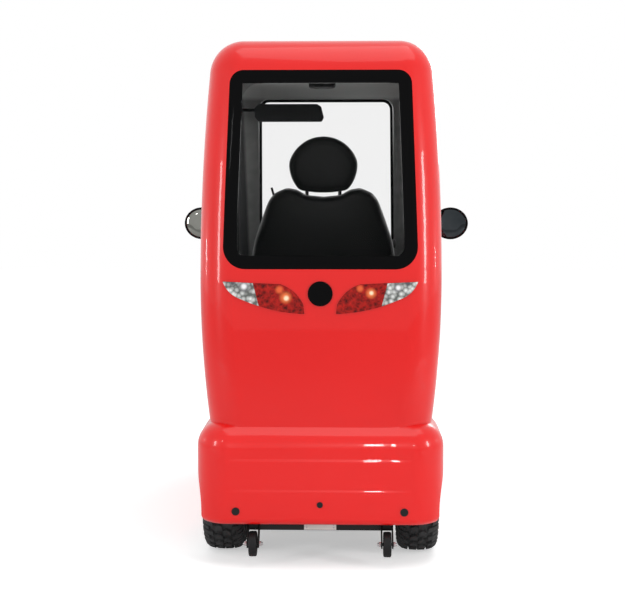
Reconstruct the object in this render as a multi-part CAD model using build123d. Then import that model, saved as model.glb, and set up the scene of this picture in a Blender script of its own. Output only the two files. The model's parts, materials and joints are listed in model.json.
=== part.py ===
from build123d import *
import os
from math import cos, radians, sin, sqrt, tan

# Enclosed four-wheel mobility scooter. Millimetres, +Z up, +Y the way it drives, +X its right side.
# The origin is on the floor, under the middle of the whole vehicle.

# Overall size and running gear
HALF_LENGTH = 820.0
ROOF_Z = 1600.0
WHEEL_R = 165.0
TYRE_W = 130.0
RIM_R = 78.0
REAR_AXLE_Y = -575.0
FRONT_AXLE_Y = 560.0
REAR_TRACK_HALF = 301.0
FRONT_TRACK_HALF = 295.0
KINGPIN_X = 252.0
REAR_ARCH_R = 197.0
FRONT_ARCH_R = 207.0
AXLE_R = 10.0
AXLE_TUBE_R = 16.0
AXLE_TUBE_END_X = 225.0
AXLE_STUB_END_X = 334.0
BEAM = 30.0
TRANSAXLE_X = 82.0
TRANSAXLE_Y = 85.0
TRANSAXLE_LOW_Z = 108.0
TRANSAXLE_HIGH_Z = 250.0
TRANSAXLE_EDGE_R = 18.0
YOKE_T = 10.0
YOKE_GAP = 22.0
YOKE_END_R = 12.0
KINGPIN_R = 8.0
BARREL_R = 15.0
FRONT_STUB_END_X = 328.0
RUNNING_FIT = 0.05

# Wheels: rim section and the tyre's outline as (half width, radius) points from its crown to its side
BEAD_HALF = 48.0
FLANGE_R = 88.0
FLANGE_T = 5.0
RIM_WALL = 5.0
HUB_R = 24.0
HUB_X = (-14.0, 26.0)
DISC_X = (8.0, 16.0)
TYRE_OUTLINE = ((36.0, 163.0), (54.0, 156.0), (62.0, 142.0), (TYRE_W / 2, 124.0), (61.0, 104.0))

# Cab and nose form: the side view's outline
PANEL_Y = -782.0
PANEL_Z = 560.0
PANEL_CURVE_R = 6180.0
ROOF_CURVE_R = 5200.0
ROOF_PEAK_Y = -350.0
REAR_TOP_R = 110.0
FRONT_TOP_R = 150.0
SCREEN_ANGLE = 24.0
SCREEN_TOP_Y = 290.0
COWL_Z = 868.0
COWL_R = 60.0
NOSE_Y = 790.0
BONNET_END_Z = 560.0
BONNET_BULGE = 30.0
NOSE_R = 120.0
FORM_BOTTOM_Z = 90.0

# Cab and nose form: the front view's sides
BELT_Z = 870.0
BELT_X = 370.0
SIDE_LOW_R = 3490.0
SIDE_HIGH_R = 7400.0
CORNER_R = 106.0

# Walls, gaps and fits
WALL = 24.0
DOOR_GAP = 6.0
DOOR_REAR_GAP = 11.0
DOOR_CLEAR = 8.0
SEAM = 0.5
FIT = 0.3
GLASS_OUT = 2.0
GLASS_IN = 7.0
LINING = 6.0

# Panel seams and door outline
SHELL_BOTTOM_Z = 368.0
ROOF_SEAM_Z = 1490.0
ROOF_SEAM_Y = -620.0
DOOR_REAR_Y = -272.0
DOOR_FRONT_Y = 470.0
DOOR_TOP_Z = 1484.0
DOOR_BOTTOM_Z = 212.0
DOOR_CORNER_R = 50.0
PILLAR = 120.0
DOOR_FRAME = 60.0
WINDOW_SILL_Z = 905.0

# Rear window, windscreen, lamps and badge
REAR_WINDOW_LOW_Z = 899.0
REAR_WINDOW_HIGH_Z = 1496.0
REAR_WINDOW_LOW_HALF = 294.0
REAR_WINDOW_HIGH_HALF = 273.0
REAR_WINDOW_LOW_R = 67.0
REAR_WINDOW_HIGH_R = 42.0
SEAL_W = 40.0
SCREEN_LOW_Z = 905.0
SCREEN_HIGH_Z = 1483.0
SCREEN_LOW_HALF = 270.0
SCREEN_HIGH_HALF = 256.0
SCREEN_CORNER_R = 40.0
LAMP_PROUD = 4.0
LAMP_DEPTH = 14.0
LAMP_TOP_Z = 860.0
LAMP_SPLIT_X = 202.0
LAMP_TIP_X = 292.0
LAMP_SPLIT_LEAN = 0.26
BADGE_Z = 826.0
BADGE_R = 37.0
HEADLAMP_Z = 560.0
HEADLAMP_X = 235.0
HEADLAMP_R = 66.0

# Lower mouldings
BAND_X = 375.0
BAND_BOTTOM_Z = 132.0
BAND_TOP_Z = 435.0
BAND_WALL = 6.0
BAND_REAR_R = 100.0
BAND_FRONT_R = 170.0
BAND_TOP_EDGE_R = 75.0
BAND_LOW_EDGE_R = 24.0
BAND_LIP = 30.0
FLARE_R = BAND_TOP_Z - WHEEL_R
SILL_TOP_Z = 204.0

# Frame, floor, deck and seat
RAIL_X = 110.0
RAIL = 40.0
RAIL_LOW_Z = 100.0
FLOOR_T = 6.0
FLOOR_HALF = 298.0
RAIL_END_Y = 728.0
CROSS_TUBES_Y = (-690.0, -450.0, -150.0, 200.0, 470.0, 690.0)
OUTRIGGERS_Y = (-262.0, 245.0)
DOCK_Y = 20.0
DOCK_SPACING = 120.0
DOCK_HOLE_R = 5.5
BULKHEAD_Y = 318.0
BULKHEAD_TOP_Z = 730.0
DASH_EDGE_Y = 372.0
DASH_EDGE_Z = 805.0
DASH_END_Z = 866.0
DASH_T = 12.0
DECK_Z = 425.0
DECK_FRONT_Y = -262.0
HOUSING_T = 4.0
REAR_HOUSING_X = 214.0
FRONT_HOUSING_X = 142.0
HOUSING_TOP_Z = 470.0
PEDESTAL_X = 150.0
PEDESTAL_Y = (-245.0, 50.0)
PEDESTAL_T = 5.0
BATTERY_X = 132.0
BATTERY_Y = (-205.0, 5.0)
BATTERY_H = 175.0
SEAT_BASE_TOP_Z = 520.0
SEAT_HALF = 225.0
SEAT_FRONT_Y = 115.0
SEAT_REAR_Y = -300.0
SEAT_PAD = 90.0
BACK_TILT = 8.0
BACK_T = 95.0
BACK_TOP_Z = 1151.0
BACK_HALF = 250.0
BACK_EDGE_R = 28.0
BACK_CORNER_R = 12.0
BACK_LIFT = 4.0
BACK_PIVOT_Y = -143.0
SEAT_CORNER_R = 45.0
SEAT_EDGE_R = 25.0
HEADREST_Z = 1230.0
HEADREST_W = 234.0
HEADREST_H = 190.0
HEADREST_T = 80.0
HEADREST_EDGE_R = 22.0
HEADREST_CORNER_R = 14.0
POST_X = 56.0
POST_R = 6.0
POST_SUNK = 40.0

# Steering
STEER_TILT = 8.0
STEER_FOOT_Y = 300.0
COLUMN_LENGTH = 395.0
STEM_START = 40.0
STEM_END = 770.0
STEM_R = 15.0
COLUMN_R = 25.0
HANDLE_AT = 800.0
HANDLE_R = 11.0
HANDLE_HALF = 262.0
GRIP_R = 16.0
GRIP_LENGTH = 115.0
CONSOLE = (170.0, 60.0, 80.0)
CONSOLE_R = 16.0
CONSOLE_DROP = 5.0
COLUMN_SUNK = 60.0

# Anti-tip wheels and their bar
TIP_WHEEL_R = 38.0
TIP_WHEEL_W = 24.0
TIP_X = 203.0
TIP_Y = -782.0
TIP_Z = 68.0
TIP_AXLE_R = 5.0
TIP_GAP = 2.5
FORK_T = 4.0
FORK_END = 11.0
TIP_PIN_PROUD = 4.0
TIP_WHEEL_EDGE_R = 5.0
BAR_LOW_Z = 103.0
BAR_HIGH_Z = 130.0
BAR_T = 26.0

# Door mirrors
MIRROR_X = 480.0
MIRROR_Z = 1010.0
MIRROR_HALF_W = 67.5
MIRROR_HALF_H = 61.5
MIRROR_DEPTH = 48.0
MIRROR_RIM = 6.0
MIRROR_RECESS = 3.0
MIRROR_ARM = 22.0
MIRROR_Y = 370.0
MIRROR_ARM_REACH = 0.6

# Small pieces: rear plate, bumper plugs as (x, z, radius), inside mirror and wiper
PLATE_HALF = 49.0
PLATE_T = 2.5
PLUGS = ((-252.0, 176.0, 12.0), (252.0, 176.0, 12.0), (0.0, 197.0, 9.0))
PLUG_PROUD = 2.5
PLUG_DEPTH = 30.0
INSIDE_MIRROR_Y = 232.0
INSIDE_MIRROR_T = 14.0
INSIDE_MIRROR_R = 8.0
INSIDE_MIRROR_STUB = (-255.0, 1437.0, 6.0)
INSIDE_MIRROR_OUTLINE = (
    (-265.0, 1411.0),
    (-250.0, 1393.0),
    (-14.0, 1393.0),
    (-6.0, 1409.0),
    (-16.0, 1449.0),
    (-32.0, 1459.0),
    (-250.0, 1459.0),
    (-265.0, 1445.0),
)
WIPER_LIFT = 4.0
WIPER_T = 5.0
WIPER_PIVOT = (152.0, 34.0)
WIPER_PIVOT_R = 11.0
WIPER_ARM = ((146.0, 34.0), (158.0, 34.0), (222.0, 300.0), (214.0, 302.0))
WIPER_BLADE = ((188.0, 110.0), (196.0, 110.0), (262.0, 440.0), (254.0, 442.0))

# Door hinge axis
HINGE_X = 384.0
HINGE_Y = 476.0
HINGE_Z = (520.0, 800.0)
HINGE_R = 7.0
HINGE_LEAF = 34.0
HINGE_PIN_R = 4.0
HINGE_EAR = 10.0
HINGE_LUG = 26.0

WIDE = 1200.0
parts = {}


def side_view(points):
    """A bar along X from an outline given as (y, z) points."""
    return extrude(Plane.YZ * make_face(Polyline(*points, close=True)), amount=WIDE, both=True)


def box(x, y, z):
    """A box from its low and high place on each axis."""
    size = [pair[1] - pair[0] for pair in (x, y, z)]
    middle = [(pair[1] + pair[0]) / 2 for pair in (x, y, z)]
    return Pos(*middle) * Box(*size)


def rod_x(x, y, z, radius):
    """A round bar along X between x[0] and x[1]."""
    return Pos((x[0] + x[1]) / 2, y, z) * Rot(0, 90, 0) * Cylinder(radius, abs(x[1] - x[0]))


def twins(shape):
    """A right-hand solid and its left-hand mirror image, as one node of separate solids."""
    return Compound(children=[*shape.solids(), *mirror(shape, Plane.YZ).solids()])


def biggest(shape):
    return max(shape.solids(), key=lambda s: s.volume)


def arc_between(start, end, radius, side):
    """The short arc from start to end whose middle stands to one side of the chord."""
    mx, my = (start[0] + end[0]) / 2, (start[1] + end[1]) / 2
    dx, dy = end[0] - start[0], end[1] - start[1]
    chord = sqrt(dx * dx + dy * dy)
    sag = radius - sqrt(radius * radius - chord * chord / 4)
    return ThreePointArc(start, (mx - side * dy / chord * sag, my + side * dx / chord * sag), end)


def panel_y(z):
    """Where the rear panel lies at a height, on the form's outside."""
    return PANEL_Y + PANEL_CURVE_R - sqrt(PANEL_CURVE_R**2 - (z - PANEL_Z) ** 2)


def roof_z(y):
    return ROOF_Z - ROOF_CURVE_R + sqrt(ROOF_CURVE_R**2 - (y - ROOF_PEAK_Y) ** 2)


def screen_y(z):
    """Where the windscreen's outer plane lies at a height."""
    return SCREEN_TOP_Y + (ROOF_Z - z) * tan(radians(SCREEN_ANGLE))


def side_x(z):
    """The body side's outside half width at a height."""
    radius = SIDE_LOW_R if z < BELT_Z else SIDE_HIGH_R
    return BELT_X - radius + sqrt(radius**2 - (z - BELT_Z) ** 2)


def side_outline():
    """The whole body in side view, with its corners rounded."""
    rear_low = (panel_y(FORM_BOTTOM_Z), FORM_BOTTOM_Z)
    rear_top = (panel_y(ROOF_Z), roof_z(panel_y(ROOF_Z)))
    screen_top = (screen_y(ROOF_Z), roof_z(screen_y(ROOF_Z)))
    cowl = (screen_y(COWL_Z), COWL_Z)
    nose = (NOSE_Y, BONNET_END_Z)
    bonnet_middle = ((cowl[0] + nose[0]) / 2 + BONNET_BULGE, (cowl[1] + nose[1]) / 2 + BONNET_BULGE)
    lines = [
        arc_between(rear_low, rear_top, PANEL_CURVE_R, 1),
        arc_between(rear_top, screen_top, ROOF_CURVE_R, 1),
        Line(screen_top, cowl),
        ThreePointArc(cowl, bonnet_middle, nose),
        Line(nose, (NOSE_Y, FORM_BOTTOM_Z)),
        Line((NOSE_Y, FORM_BOTTOM_Z), rear_low),
    ]
    face = make_face(Curve() + lines)
    rounding = ((rear_top, REAR_TOP_R), (screen_top, FRONT_TOP_R), (cowl, COWL_R), (nose, NOSE_R))
    for point, radius in rounding:
        corner = face.vertices().sort_by_distance(Vector(point[0], point[1], 0))[0]
        face = fillet(corner, radius)
    return face


def front_outline():
    """The body sides in front view; the roof is left open above."""
    low, high = FORM_BOTTOM_Z, ROOF_Z + CORNER_R
    right = [
        arc_between((side_x(low), low), (BELT_X, BELT_Z), SIDE_LOW_R, -1),
        arc_between((BELT_X, BELT_Z), (side_x(high), high), SIDE_HIGH_R, -1),
    ]
    left = [
        arc_between((-side_x(high), high), (-BELT_X, BELT_Z), SIDE_HIGH_R, -1),
        arc_between((-BELT_X, BELT_Z), (-side_x(low), low), SIDE_LOW_R, -1),
    ]
    across = [Line((side_x(high), high), (-side_x(high), high)), Line((-side_x(low), low), (side_x(low), low))]
    return make_face(Curve() + right + left + across)


SIDE_OUTLINE = side_outline()
FRONT_OUTLINE = front_outline()
forms = {}


def body_form(inset):
    """The closed cab and nose, taken in from its outside by a depth."""
    if inset in forms:
        return forms[inset]
    side, front = SIDE_OUTLINE, FRONT_OUTLINE
    if inset:
        side, front = offset(side, -inset), offset(front, -inset)
    form = extrude(Plane.YZ * side, amount=WIDE, both=True) & extrude(Plane.XZ * front, amount=WIDE, both=True)
    low = form.bounding_box().min.Z
    rim = [
        e
        for e in form.edges()
        if abs(e.center().X) > BELT_X / 2
        and e.center().Z > low + 1
        and not (abs(e.center().Z - BELT_Z) < 1 and e.length > HALF_LENGTH)
    ]
    forms[inset] = fillet(rim, CORNER_R - inset)
    return forms[inset]


def trapezoid_y(low_z, high_z, low_half, high_half, low_r, high_r, y_range, inset=0.0):
    """A bar along Y with a rounded trapezoid outline, taken in by an inset."""
    outline = make_face(
        Polyline((-low_half, low_z), (low_half, low_z), (high_half, high_z), (-high_half, high_z), close=True)
    )
    corners = outline.vertices().sort_by(Axis.Y)
    outline = fillet(corners[:2], low_r)
    outline = fillet(outline.vertices().sort_by(Axis.Y)[-2:], high_r)
    if inset:
        outline = offset(outline, -inset)
    bar = extrude(Plane.XZ * outline, amount=WIDE, both=True)
    return bar & box((-WIDE, WIDE), y_range, (0, 2 * ROOF_Z))


def rear_window(inset=0.0):
    return trapezoid_y(
        REAR_WINDOW_LOW_Z,
        REAR_WINDOW_HIGH_Z,
        REAR_WINDOW_LOW_HALF,
        REAR_WINDOW_HIGH_HALF,
        REAR_WINDOW_LOW_R,
        REAR_WINDOW_HIGH_R,
        (-WIDE, ROOF_SEAM_Y),
        inset,
    )


def windscreen(inset=0.0):
    return trapezoid_y(
        SCREEN_LOW_Z,
        SCREEN_HIGH_Z,
        SCREEN_LOW_HALF,
        SCREEN_HIGH_HALF,
        SCREEN_CORNER_R,
        SCREEN_CORNER_R,
        (0, WIDE),
        inset,
    )


def door_outline(grow=0.0, grow_rear=None):
    """The door in side view, grown all round, as a bar along X on the right side."""
    rear = DOOR_REAR_Y - (grow if grow_rear is None else grow_rear)
    front = DOOR_FRONT_Y + grow
    low, high = DOOR_BOTTOM_Z - grow, DOOR_TOP_Z + grow
    slope = grow / cos(radians(SCREEN_ANGLE))
    knee_z = ROOF_Z - (front + PILLAR - slope - SCREEN_TOP_Y) / tan(radians(SCREEN_ANGLE))
    top_front = screen_y(high) - PILLAR + slope
    points = ((rear, low), (front, low), (front, knee_z), (top_front, high), (rear, high))
    outline = make_face(Polyline(*points, close=True))
    corners = [v for v in outline.vertices() if v.Y > low + 1 and v.Y > knee_z + 1]
    outline = fillet(corners, DOOR_CORNER_R)
    bar = extrude(Plane.YZ * outline, amount=WIDE)
    return bar - rod_x((-WIDE, WIDE), FRONT_AXLE_Y, WHEEL_R, FLARE_R + DOOR_GAP - grow)


def window_outline(inset=0.0):
    """The side window in side view, as a bar along X on the right side."""
    rear = DOOR_REAR_Y + DOOR_FRAME + inset
    high = DOOR_TOP_Z - DOOR_FRAME - inset
    low = WINDOW_SILL_Z + inset
    edge = (DOOR_FRAME + inset) / cos(radians(SCREEN_ANGLE)) + PILLAR
    points = ((rear, low), (screen_y(low) - edge, low), (screen_y(high) - edge, high), (rear, high))
    outline = make_face(Polyline(*points, close=True))
    outline = fillet(outline.vertices(), DOOR_CORNER_R - inset - WALL / 2)
    return extrude(Plane.YZ * outline, amount=WIDE)


def lamp_bar(grow=0.0):
    """One tail lamp's outline as a bar along Y on the right side."""
    top_inner, inner_low = (120, LAMP_TOP_Z - 6), (48, LAMP_TOP_Z - 94)
    outline = Curve() + [
        Line((LAMP_TIP_X, LAMP_TOP_Z + 2), top_inner),
        ThreePointArc(top_inner, (84, LAMP_TOP_Z - 25), (51, LAMP_TOP_Z - 67)),
        Line((51, LAMP_TOP_Z - 67), inner_low),
        ThreePointArc(inner_low, (150, LAMP_TOP_Z - 80), (LAMP_SPLIT_X + 36, LAMP_TOP_Z - 50)),
        ThreePointArc(
            (LAMP_SPLIT_X + 36, LAMP_TOP_Z - 50), (LAMP_SPLIT_X + 66, LAMP_TOP_Z - 33), (LAMP_TIP_X, LAMP_TOP_Z + 2)
        ),
    ]
    face = make_face(outline)
    if grow:
        face = offset(face, grow)
    bar = extrude(Plane.XZ * face, amount=WIDE, both=True)
    return bar & box((0, WIDE), (-WIDE, ROOF_SEAM_Y), (0, ROOF_Z))


def lamp_split(shift):
    """Everything on the inner side of the line between a lamp's red and clear parts."""
    low, high = LAMP_TOP_Z - 2 * HEADLAMP_R, LAMP_TOP_Z + HEADLAMP_R
    x_low, x_high = (LAMP_SPLIT_X + shift + (z - LAMP_TOP_Z) * LAMP_SPLIT_LEAN for z in (low, high))
    face = make_face(Polyline((0, low), (x_low, low), (x_high, high), (0, high), close=True))
    return extrude(Plane.XZ * face, amount=WIDE, both=True)


def band_plan(inset):
    """The lower mouldings' outline seen from above."""
    plan = make_face(
        Polyline(
            (-BAND_X + inset, -HALF_LENGTH + inset),
            (BAND_X - inset, -HALF_LENGTH + inset),
            (BAND_X - inset, HALF_LENGTH - inset),
            (-BAND_X + inset, HALF_LENGTH - inset),
            close=True,
        )
    )
    plan = fillet(plan.vertices().sort_by(Axis.Y)[:2], BAND_REAR_R - inset)
    return fillet(plan.vertices().sort_by(Axis.Y)[-2:], BAND_FRONT_R - inset)


def band_form(inset):
    """The lower mouldings' outside form with its wheel flares, taken in by a depth."""
    low, high = BAND_BOTTOM_Z + inset, BAND_TOP_Z - inset
    form = Pos(0, 0, low) * extrude(band_plan(inset), amount=high - low)
    form = fillet(form.faces().sort_by(Axis.Z)[-1].edges(), BAND_TOP_EDGE_R - inset)
    form = fillet(form.faces().sort_by(Axis.Z)[0].edges(), BAND_LOW_EDGE_R - inset)
    reach = box((-WIDE, WIDE), (-WIDE, REAR_AXLE_Y), (0, ROOF_Z))
    reach = reach + box((-WIDE, WIDE), (FRONT_AXLE_Y, WIDE), (0, ROOF_Z))
    reach = reach + box((-WIDE, WIDE), (-WIDE, WIDE), (0, SILL_TOP_Z - inset))
    for y in (REAR_AXLE_Y, FRONT_AXLE_Y):
        disc = rod_x((-BAND_X + inset, BAND_X - inset), y, WHEEL_R, FLARE_R - inset)
        reach = reach + fillet([e for e in disc.edges() if e.geom_type == GeomType.CIRCLE], BAND_TOP_EDGE_R - inset)
    form = form & reach
    if inset:
        form = form + extrude(band_plan(BAND_LIP), amount=low + BAND_LOW_EDGE_R)
    return form


outer = body_form(0)
wall = outer - body_form(WALL)

# Openings in the walls
DOOR_HOLE = door_outline(DOOR_GAP, DOOR_REAR_GAP)
HOLES = DOOR_HOLE + mirror(DOOR_HOLE, Plane.YZ)

# Where one body panel ends and the next begins, in side view
roof_front_y = screen_y(ROOF_SEAM_Z) - PILLAR
half_seam = SEAM / 2
top = 2 * ROOF_Z
roof_zone = side_view(
    (
        (ROOF_SEAM_Y + half_seam, ROOF_SEAM_Z + half_seam),
        (roof_front_y - half_seam, ROOF_SEAM_Z + half_seam),
        (roof_front_y - half_seam, top),
        (ROOF_SEAM_Y + half_seam, top),
    )
)
rear_zone = side_view(
    (
        (-WIDE, SHELL_BOTTOM_Z),
        (REAR_AXLE_Y, SHELL_BOTTOM_Z),
        (REAR_AXLE_Y, SILL_TOP_Z + SEAM),
        (DOOR_REAR_Y - DOOR_REAR_GAP, SILL_TOP_Z + SEAM),
        (DOOR_REAR_Y - DOOR_REAR_GAP, DOOR_BOTTOM_Z),
        (0, DOOR_BOTTOM_Z),
        (0, ROOF_SEAM_Z - half_seam),
        (ROOF_SEAM_Y - half_seam, ROOF_SEAM_Z - half_seam),
        (ROOF_SEAM_Y - half_seam, top),
        (-WIDE, top),
    )
)
screen_zone = side_view(
    (
        (roof_front_y + half_seam, top),
        (roof_front_y + half_seam, ROOF_SEAM_Z - half_seam),
        (0, ROOF_SEAM_Z - half_seam),
        (0, COWL_Z + half_seam),
        (WIDE, COWL_Z + half_seam),
        (WIDE, top),
    )
)
cowl_zone = side_view(
    ((0, SHELL_BOTTOM_Z), (WIDE, SHELL_BOTTOM_Z), (WIDE, COWL_Z - half_seam), (0, COWL_Z - half_seam))
)

panels = wall - HOLES
lamp_holes = lamp_bar(FIT) + mirror(lamp_bar(FIT), Plane.YZ)
rear_arch = rod_x((-WIDE, WIDE), REAR_AXLE_Y, WHEEL_R, REAR_ARCH_R + HOUSING_T + FIT)
parts["rear_shell"] = biggest((panels & rear_zone) - rear_window() - lamp_holes - rear_arch)
parts["roof_panel"] = biggest(panels & roof_zone)
parts["windscreen_surround"] = biggest((panels & screen_zone) - windscreen())

headlamp = Pos(HEADLAMP_X, 0, HEADLAMP_Z) * Rot(90, 0, 0) * Cylinder(HEADLAMP_R, 2 * WIDE)
headlamp = headlamp & box((0, WIDE), (0, WIDE), (0, ROOF_Z))
headlamp_hole = Pos(HEADLAMP_X, 0, HEADLAMP_Z) * Rot(90, 0, 0) * Cylinder(HEADLAMP_R + FIT, 2 * WIDE)
headlamp_hole = headlamp_hole & box((0, WIDE), (0, WIDE), (0, ROOF_Z))
parts["front_cowl"] = biggest((panels & cowl_zone) - headlamp_hole - mirror(headlamp_hole, Plane.YZ))
parts["headlamps"] = twins(headlamp & (Pos(0, LAMP_PROUD, 0) * outer - body_form(WALL)))

# Glass
pane = body_form(GLASS_OUT) - body_form(GLASS_IN)
parts["rear_window_seal"] = (pane & rear_window(FIT)) - rear_window(SEAL_W)
parts["rear_window_glass"] = pane & rear_window(SEAL_W + FIT)
parts["windscreen_glass"] = pane & windscreen(FIT)

# Tail lamps and badge
proud_rear = Pos(0, -LAMP_PROUD, 0) * outer
lamp_skin = proud_rear - body_form(LAMP_DEPTH)
lamp = lamp_bar() & lamp_skin
parts["tail_lamps_red"] = twins(lamp & lamp_split(-FIT / 2))
parts["tail_lamps_clear"] = twins(lamp - lamp_split(FIT / 2))
badge = Pos(0, -WIDE / 2, BADGE_Z) * Rot(90, 0, 0) * Cylinder(BADGE_R, WIDE)
badge_seat = Pos(0, -WIDE / 2, BADGE_Z) * Rot(90, 0, 0) * Cylinder(BADGE_R + FIT, WIDE)
parts["rear_shell"] = parts["rear_shell"] - (badge_seat & lamp_skin)
parts["badge_disc"] = badge & lamp_skin

# Doors with their glass, mirrors and hinges
door_bar = door_outline()
door_panel = biggest((wall & door_bar) - window_outline())
for z in HINGE_Z:
    knuckle = Pos(HINGE_X, HINGE_Y, z) * Cylinder(HINGE_R, HINGE_LEAF)
    leaf_z = (z - HINGE_LEAF / 2, z + HINGE_LEAF / 2)
    leaf = box((side_x(z) - WALL / 2, HINGE_X), (DOOR_FRONT_Y - HINGE_LEAF, HINGE_Y), leaf_z)
    door_panel = door_panel + (leaf & door_bar) + knuckle
mirror_face_y = MIRROR_Y - MIRROR_ARM / 2
mirror_head = extrude(Plane.XZ * Ellipse(MIRROR_HALF_W, MIRROR_HALF_H), amount=-MIRROR_DEPTH)
mirror_head = fillet(mirror_head.faces().sort_by(Axis.Y)[-1].edges(), MIRROR_DEPTH - MIRROR_RIM)
mirror_head = Pos(MIRROR_X, mirror_face_y, MIRROR_Z) * mirror_head
recess_outline = Ellipse(MIRROR_HALF_W - MIRROR_RIM, MIRROR_HALF_H - MIRROR_RIM)
recess = extrude(Plane.XZ * recess_outline, amount=MIRROR_RECESS, both=True)
mirror_head = mirror_head - Pos(MIRROR_X, mirror_face_y, MIRROR_Z) * recess
arm_end_x = MIRROR_X - MIRROR_ARM_REACH * MIRROR_HALF_W
arm_outline = Polyline(
    (side_x(MIRROR_Z) - WALL / 2, MIRROR_Z - MIRROR_ARM * 2),
    (side_x(MIRROR_Z) - WALL / 2, MIRROR_Z - MIRROR_ARM / 2),
    (arm_end_x, MIRROR_Z + MIRROR_ARM / 2),
    (arm_end_x, MIRROR_Z - MIRROR_ARM),
    close=True,
)
mirror_arm = extrude(Plane.XZ * make_face(arm_outline), amount=MIRROR_ARM / 2, both=True)
mirror_arm = Pos(0, MIRROR_Y + MIRROR_ARM / 2, 0) * mirror_arm
door_mirror = biggest((mirror_arm + mirror_head) - (wall & door_bar))
parts["door_right"] = door_panel
parts["door_glass_right"] = pane & window_outline(FIT)
parts["door_mirror_right"] = door_mirror
for name in ("door", "door_glass", "door_mirror"):
    parts[name + "_left"] = mirror(parts[name + "_right"], Plane.YZ)

# Headliner
lining = body_form(WALL + FIT) - body_form(WALL + FIT + LINING)
parts["headliner"] = biggest(lining & box((-WIDE, WIDE), (ROOF_SEAM_Y, roof_front_y), (ROOF_SEAM_Z + FIT, top)))

# Lower mouldings
band_outer = band_form(0)
band_inner = band_form(BAND_WALL)
band = band_outer - band_inner - outer
band = band - rod_x((-WIDE, WIDE), REAR_AXLE_Y, WHEEL_R, REAR_ARCH_R)
band = band - rod_x((-WIDE, WIDE), FRONT_AXLE_Y, WHEEL_R, FRONT_ARCH_R)
rear_end_y = REAR_AXLE_Y + FLARE_R + SEAM
front_end_y = FRONT_AXLE_Y - FLARE_R - SEAM
parts["rear_bumper"] = band & box((-WIDE, WIDE), (-WIDE, rear_end_y - SEAM), (0, ROOF_Z))
parts["front_bumper"] = band & box((-WIDE, WIDE), (front_end_y + SEAM, WIDE), (0, ROOF_Z))
sill = band_outer & box((FLOOR_HALF + FIT, WIDE), (rear_end_y, front_end_y), (0, SILL_TOP_Z))
sill = sill - (band_inner & box((FLOOR_HALF + FIT + BAND_WALL, WIDE), (-WIDE, WIDE), (0, ROOF_Z)))
parts["sills"] = twins(sill)

# Frame: two rails, cross tubes between them, outriggers to the sills and saddles for the axles
rail_high_z = RAIL_LOW_Z + RAIL
rail_z = (RAIL_LOW_Z, rail_high_z)
low_tube_z = (RAIL_LOW_Z, BAND_BOTTOM_Z - FIT)
rail_x = (RAIL_X - RAIL / 2, RAIL_X + RAIL / 2)
rail = box(rail_x, (-RAIL_END_Y, RAIL_END_Y), rail_z)
for y in (DOCK_Y - DOCK_SPACING / 2, DOCK_Y + DOCK_SPACING / 2):
    rail = rail - Pos(RAIL_X, y, RAIL_LOW_Z) * Cylinder(DOCK_HOLE_R, 4 * RAIL)
parts["chassis_frame"] = twins(rail)
cross_tubes = [box((-rail_x[0], rail_x[0]), (y - RAIL / 2, y + RAIL / 2), rail_z) for y in CROSS_TUBES_Y]
cross_tubes += [box((-rail_x[0], rail_x[0]), (y - RAIL / 2, y + RAIL / 2), low_tube_z) for y in OUTRIGGERS_Y]
parts["frame_cross_tubes"] = Compound(children=cross_tubes)
outrigger_x = (rail_x[1], BAND_X - BAND_LIP)
outriggers = [box(outrigger_x, (y - RAIL / 2, y + RAIL / 2), low_tube_z) for y in OUTRIGGERS_Y]
parts["frame_outriggers"] = twins(Compound(children=outriggers))
rear_saddle = box(rail_x, (REAR_AXLE_Y - RAIL / 2, REAR_AXLE_Y + RAIL / 2), (rail_high_z, WHEEL_R))
rear_saddle = rear_saddle - rod_x((-WIDE, WIDE), REAR_AXLE_Y, WHEEL_R, AXLE_TUBE_R + FIT)
front_saddle = box(rail_x, (FRONT_AXLE_Y - BEAM, FRONT_AXLE_Y + BEAM), (rail_high_z, WHEEL_R - BEAM / 2 - FIT))
parts["axle_saddles"] = twins(Compound(children=[biggest(rear_saddle), front_saddle]))

# Rear transaxle with its motor, axle tubes and stubs
axle = box(
    (-TRANSAXLE_X, TRANSAXLE_X),
    (REAR_AXLE_Y - TRANSAXLE_Y, REAR_AXLE_Y + TRANSAXLE_Y),
    (TRANSAXLE_LOW_Z, TRANSAXLE_HIGH_Z),
)
axle = fillet(axle.edges(), TRANSAXLE_EDGE_R)
axle = axle + rod_x((-AXLE_TUBE_END_X, AXLE_TUBE_END_X), REAR_AXLE_Y, WHEEL_R, AXLE_TUBE_R)
parts["transaxle"] = axle + rod_x((-AXLE_STUB_END_X, AXLE_STUB_END_X), REAR_AXLE_Y, WHEEL_R, AXLE_R)

# Front axle beam with a yoke and kingpin at each end
yoke_wall_x = KINGPIN_X - BARREL_R - FLANGE_T
beam_y = (FRONT_AXLE_Y - BEAM / 2, FRONT_AXLE_Y + BEAM / 2)
yoke_z = (WHEEL_R - YOKE_GAP - YOKE_T, WHEEL_R + YOKE_GAP + YOKE_T)
beam = box((-yoke_wall_x, yoke_wall_x), beam_y, (WHEEL_R - BEAM / 2, WHEEL_R + BEAM / 2))
for side in (1, -1):
    yoke = box((yoke_wall_x - YOKE_T, KINGPIN_X), beam_y, yoke_z)
    yoke = yoke + Pos(KINGPIN_X, FRONT_AXLE_Y, WHEEL_R) * Cylinder(YOKE_END_R, yoke_z[1] - yoke_z[0])
    yoke = yoke - box((yoke_wall_x, WIDE), (0, WIDE), (WHEEL_R - YOKE_GAP, WHEEL_R + YOKE_GAP))
    yoke = yoke + Pos(KINGPIN_X, FRONT_AXLE_Y, WHEEL_R) * Cylinder(KINGPIN_R, yoke_z[1] - yoke_z[0])
    beam = beam + (yoke if side > 0 else mirror(yoke, Plane.YZ))
parts["front_axle"] = beam

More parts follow.
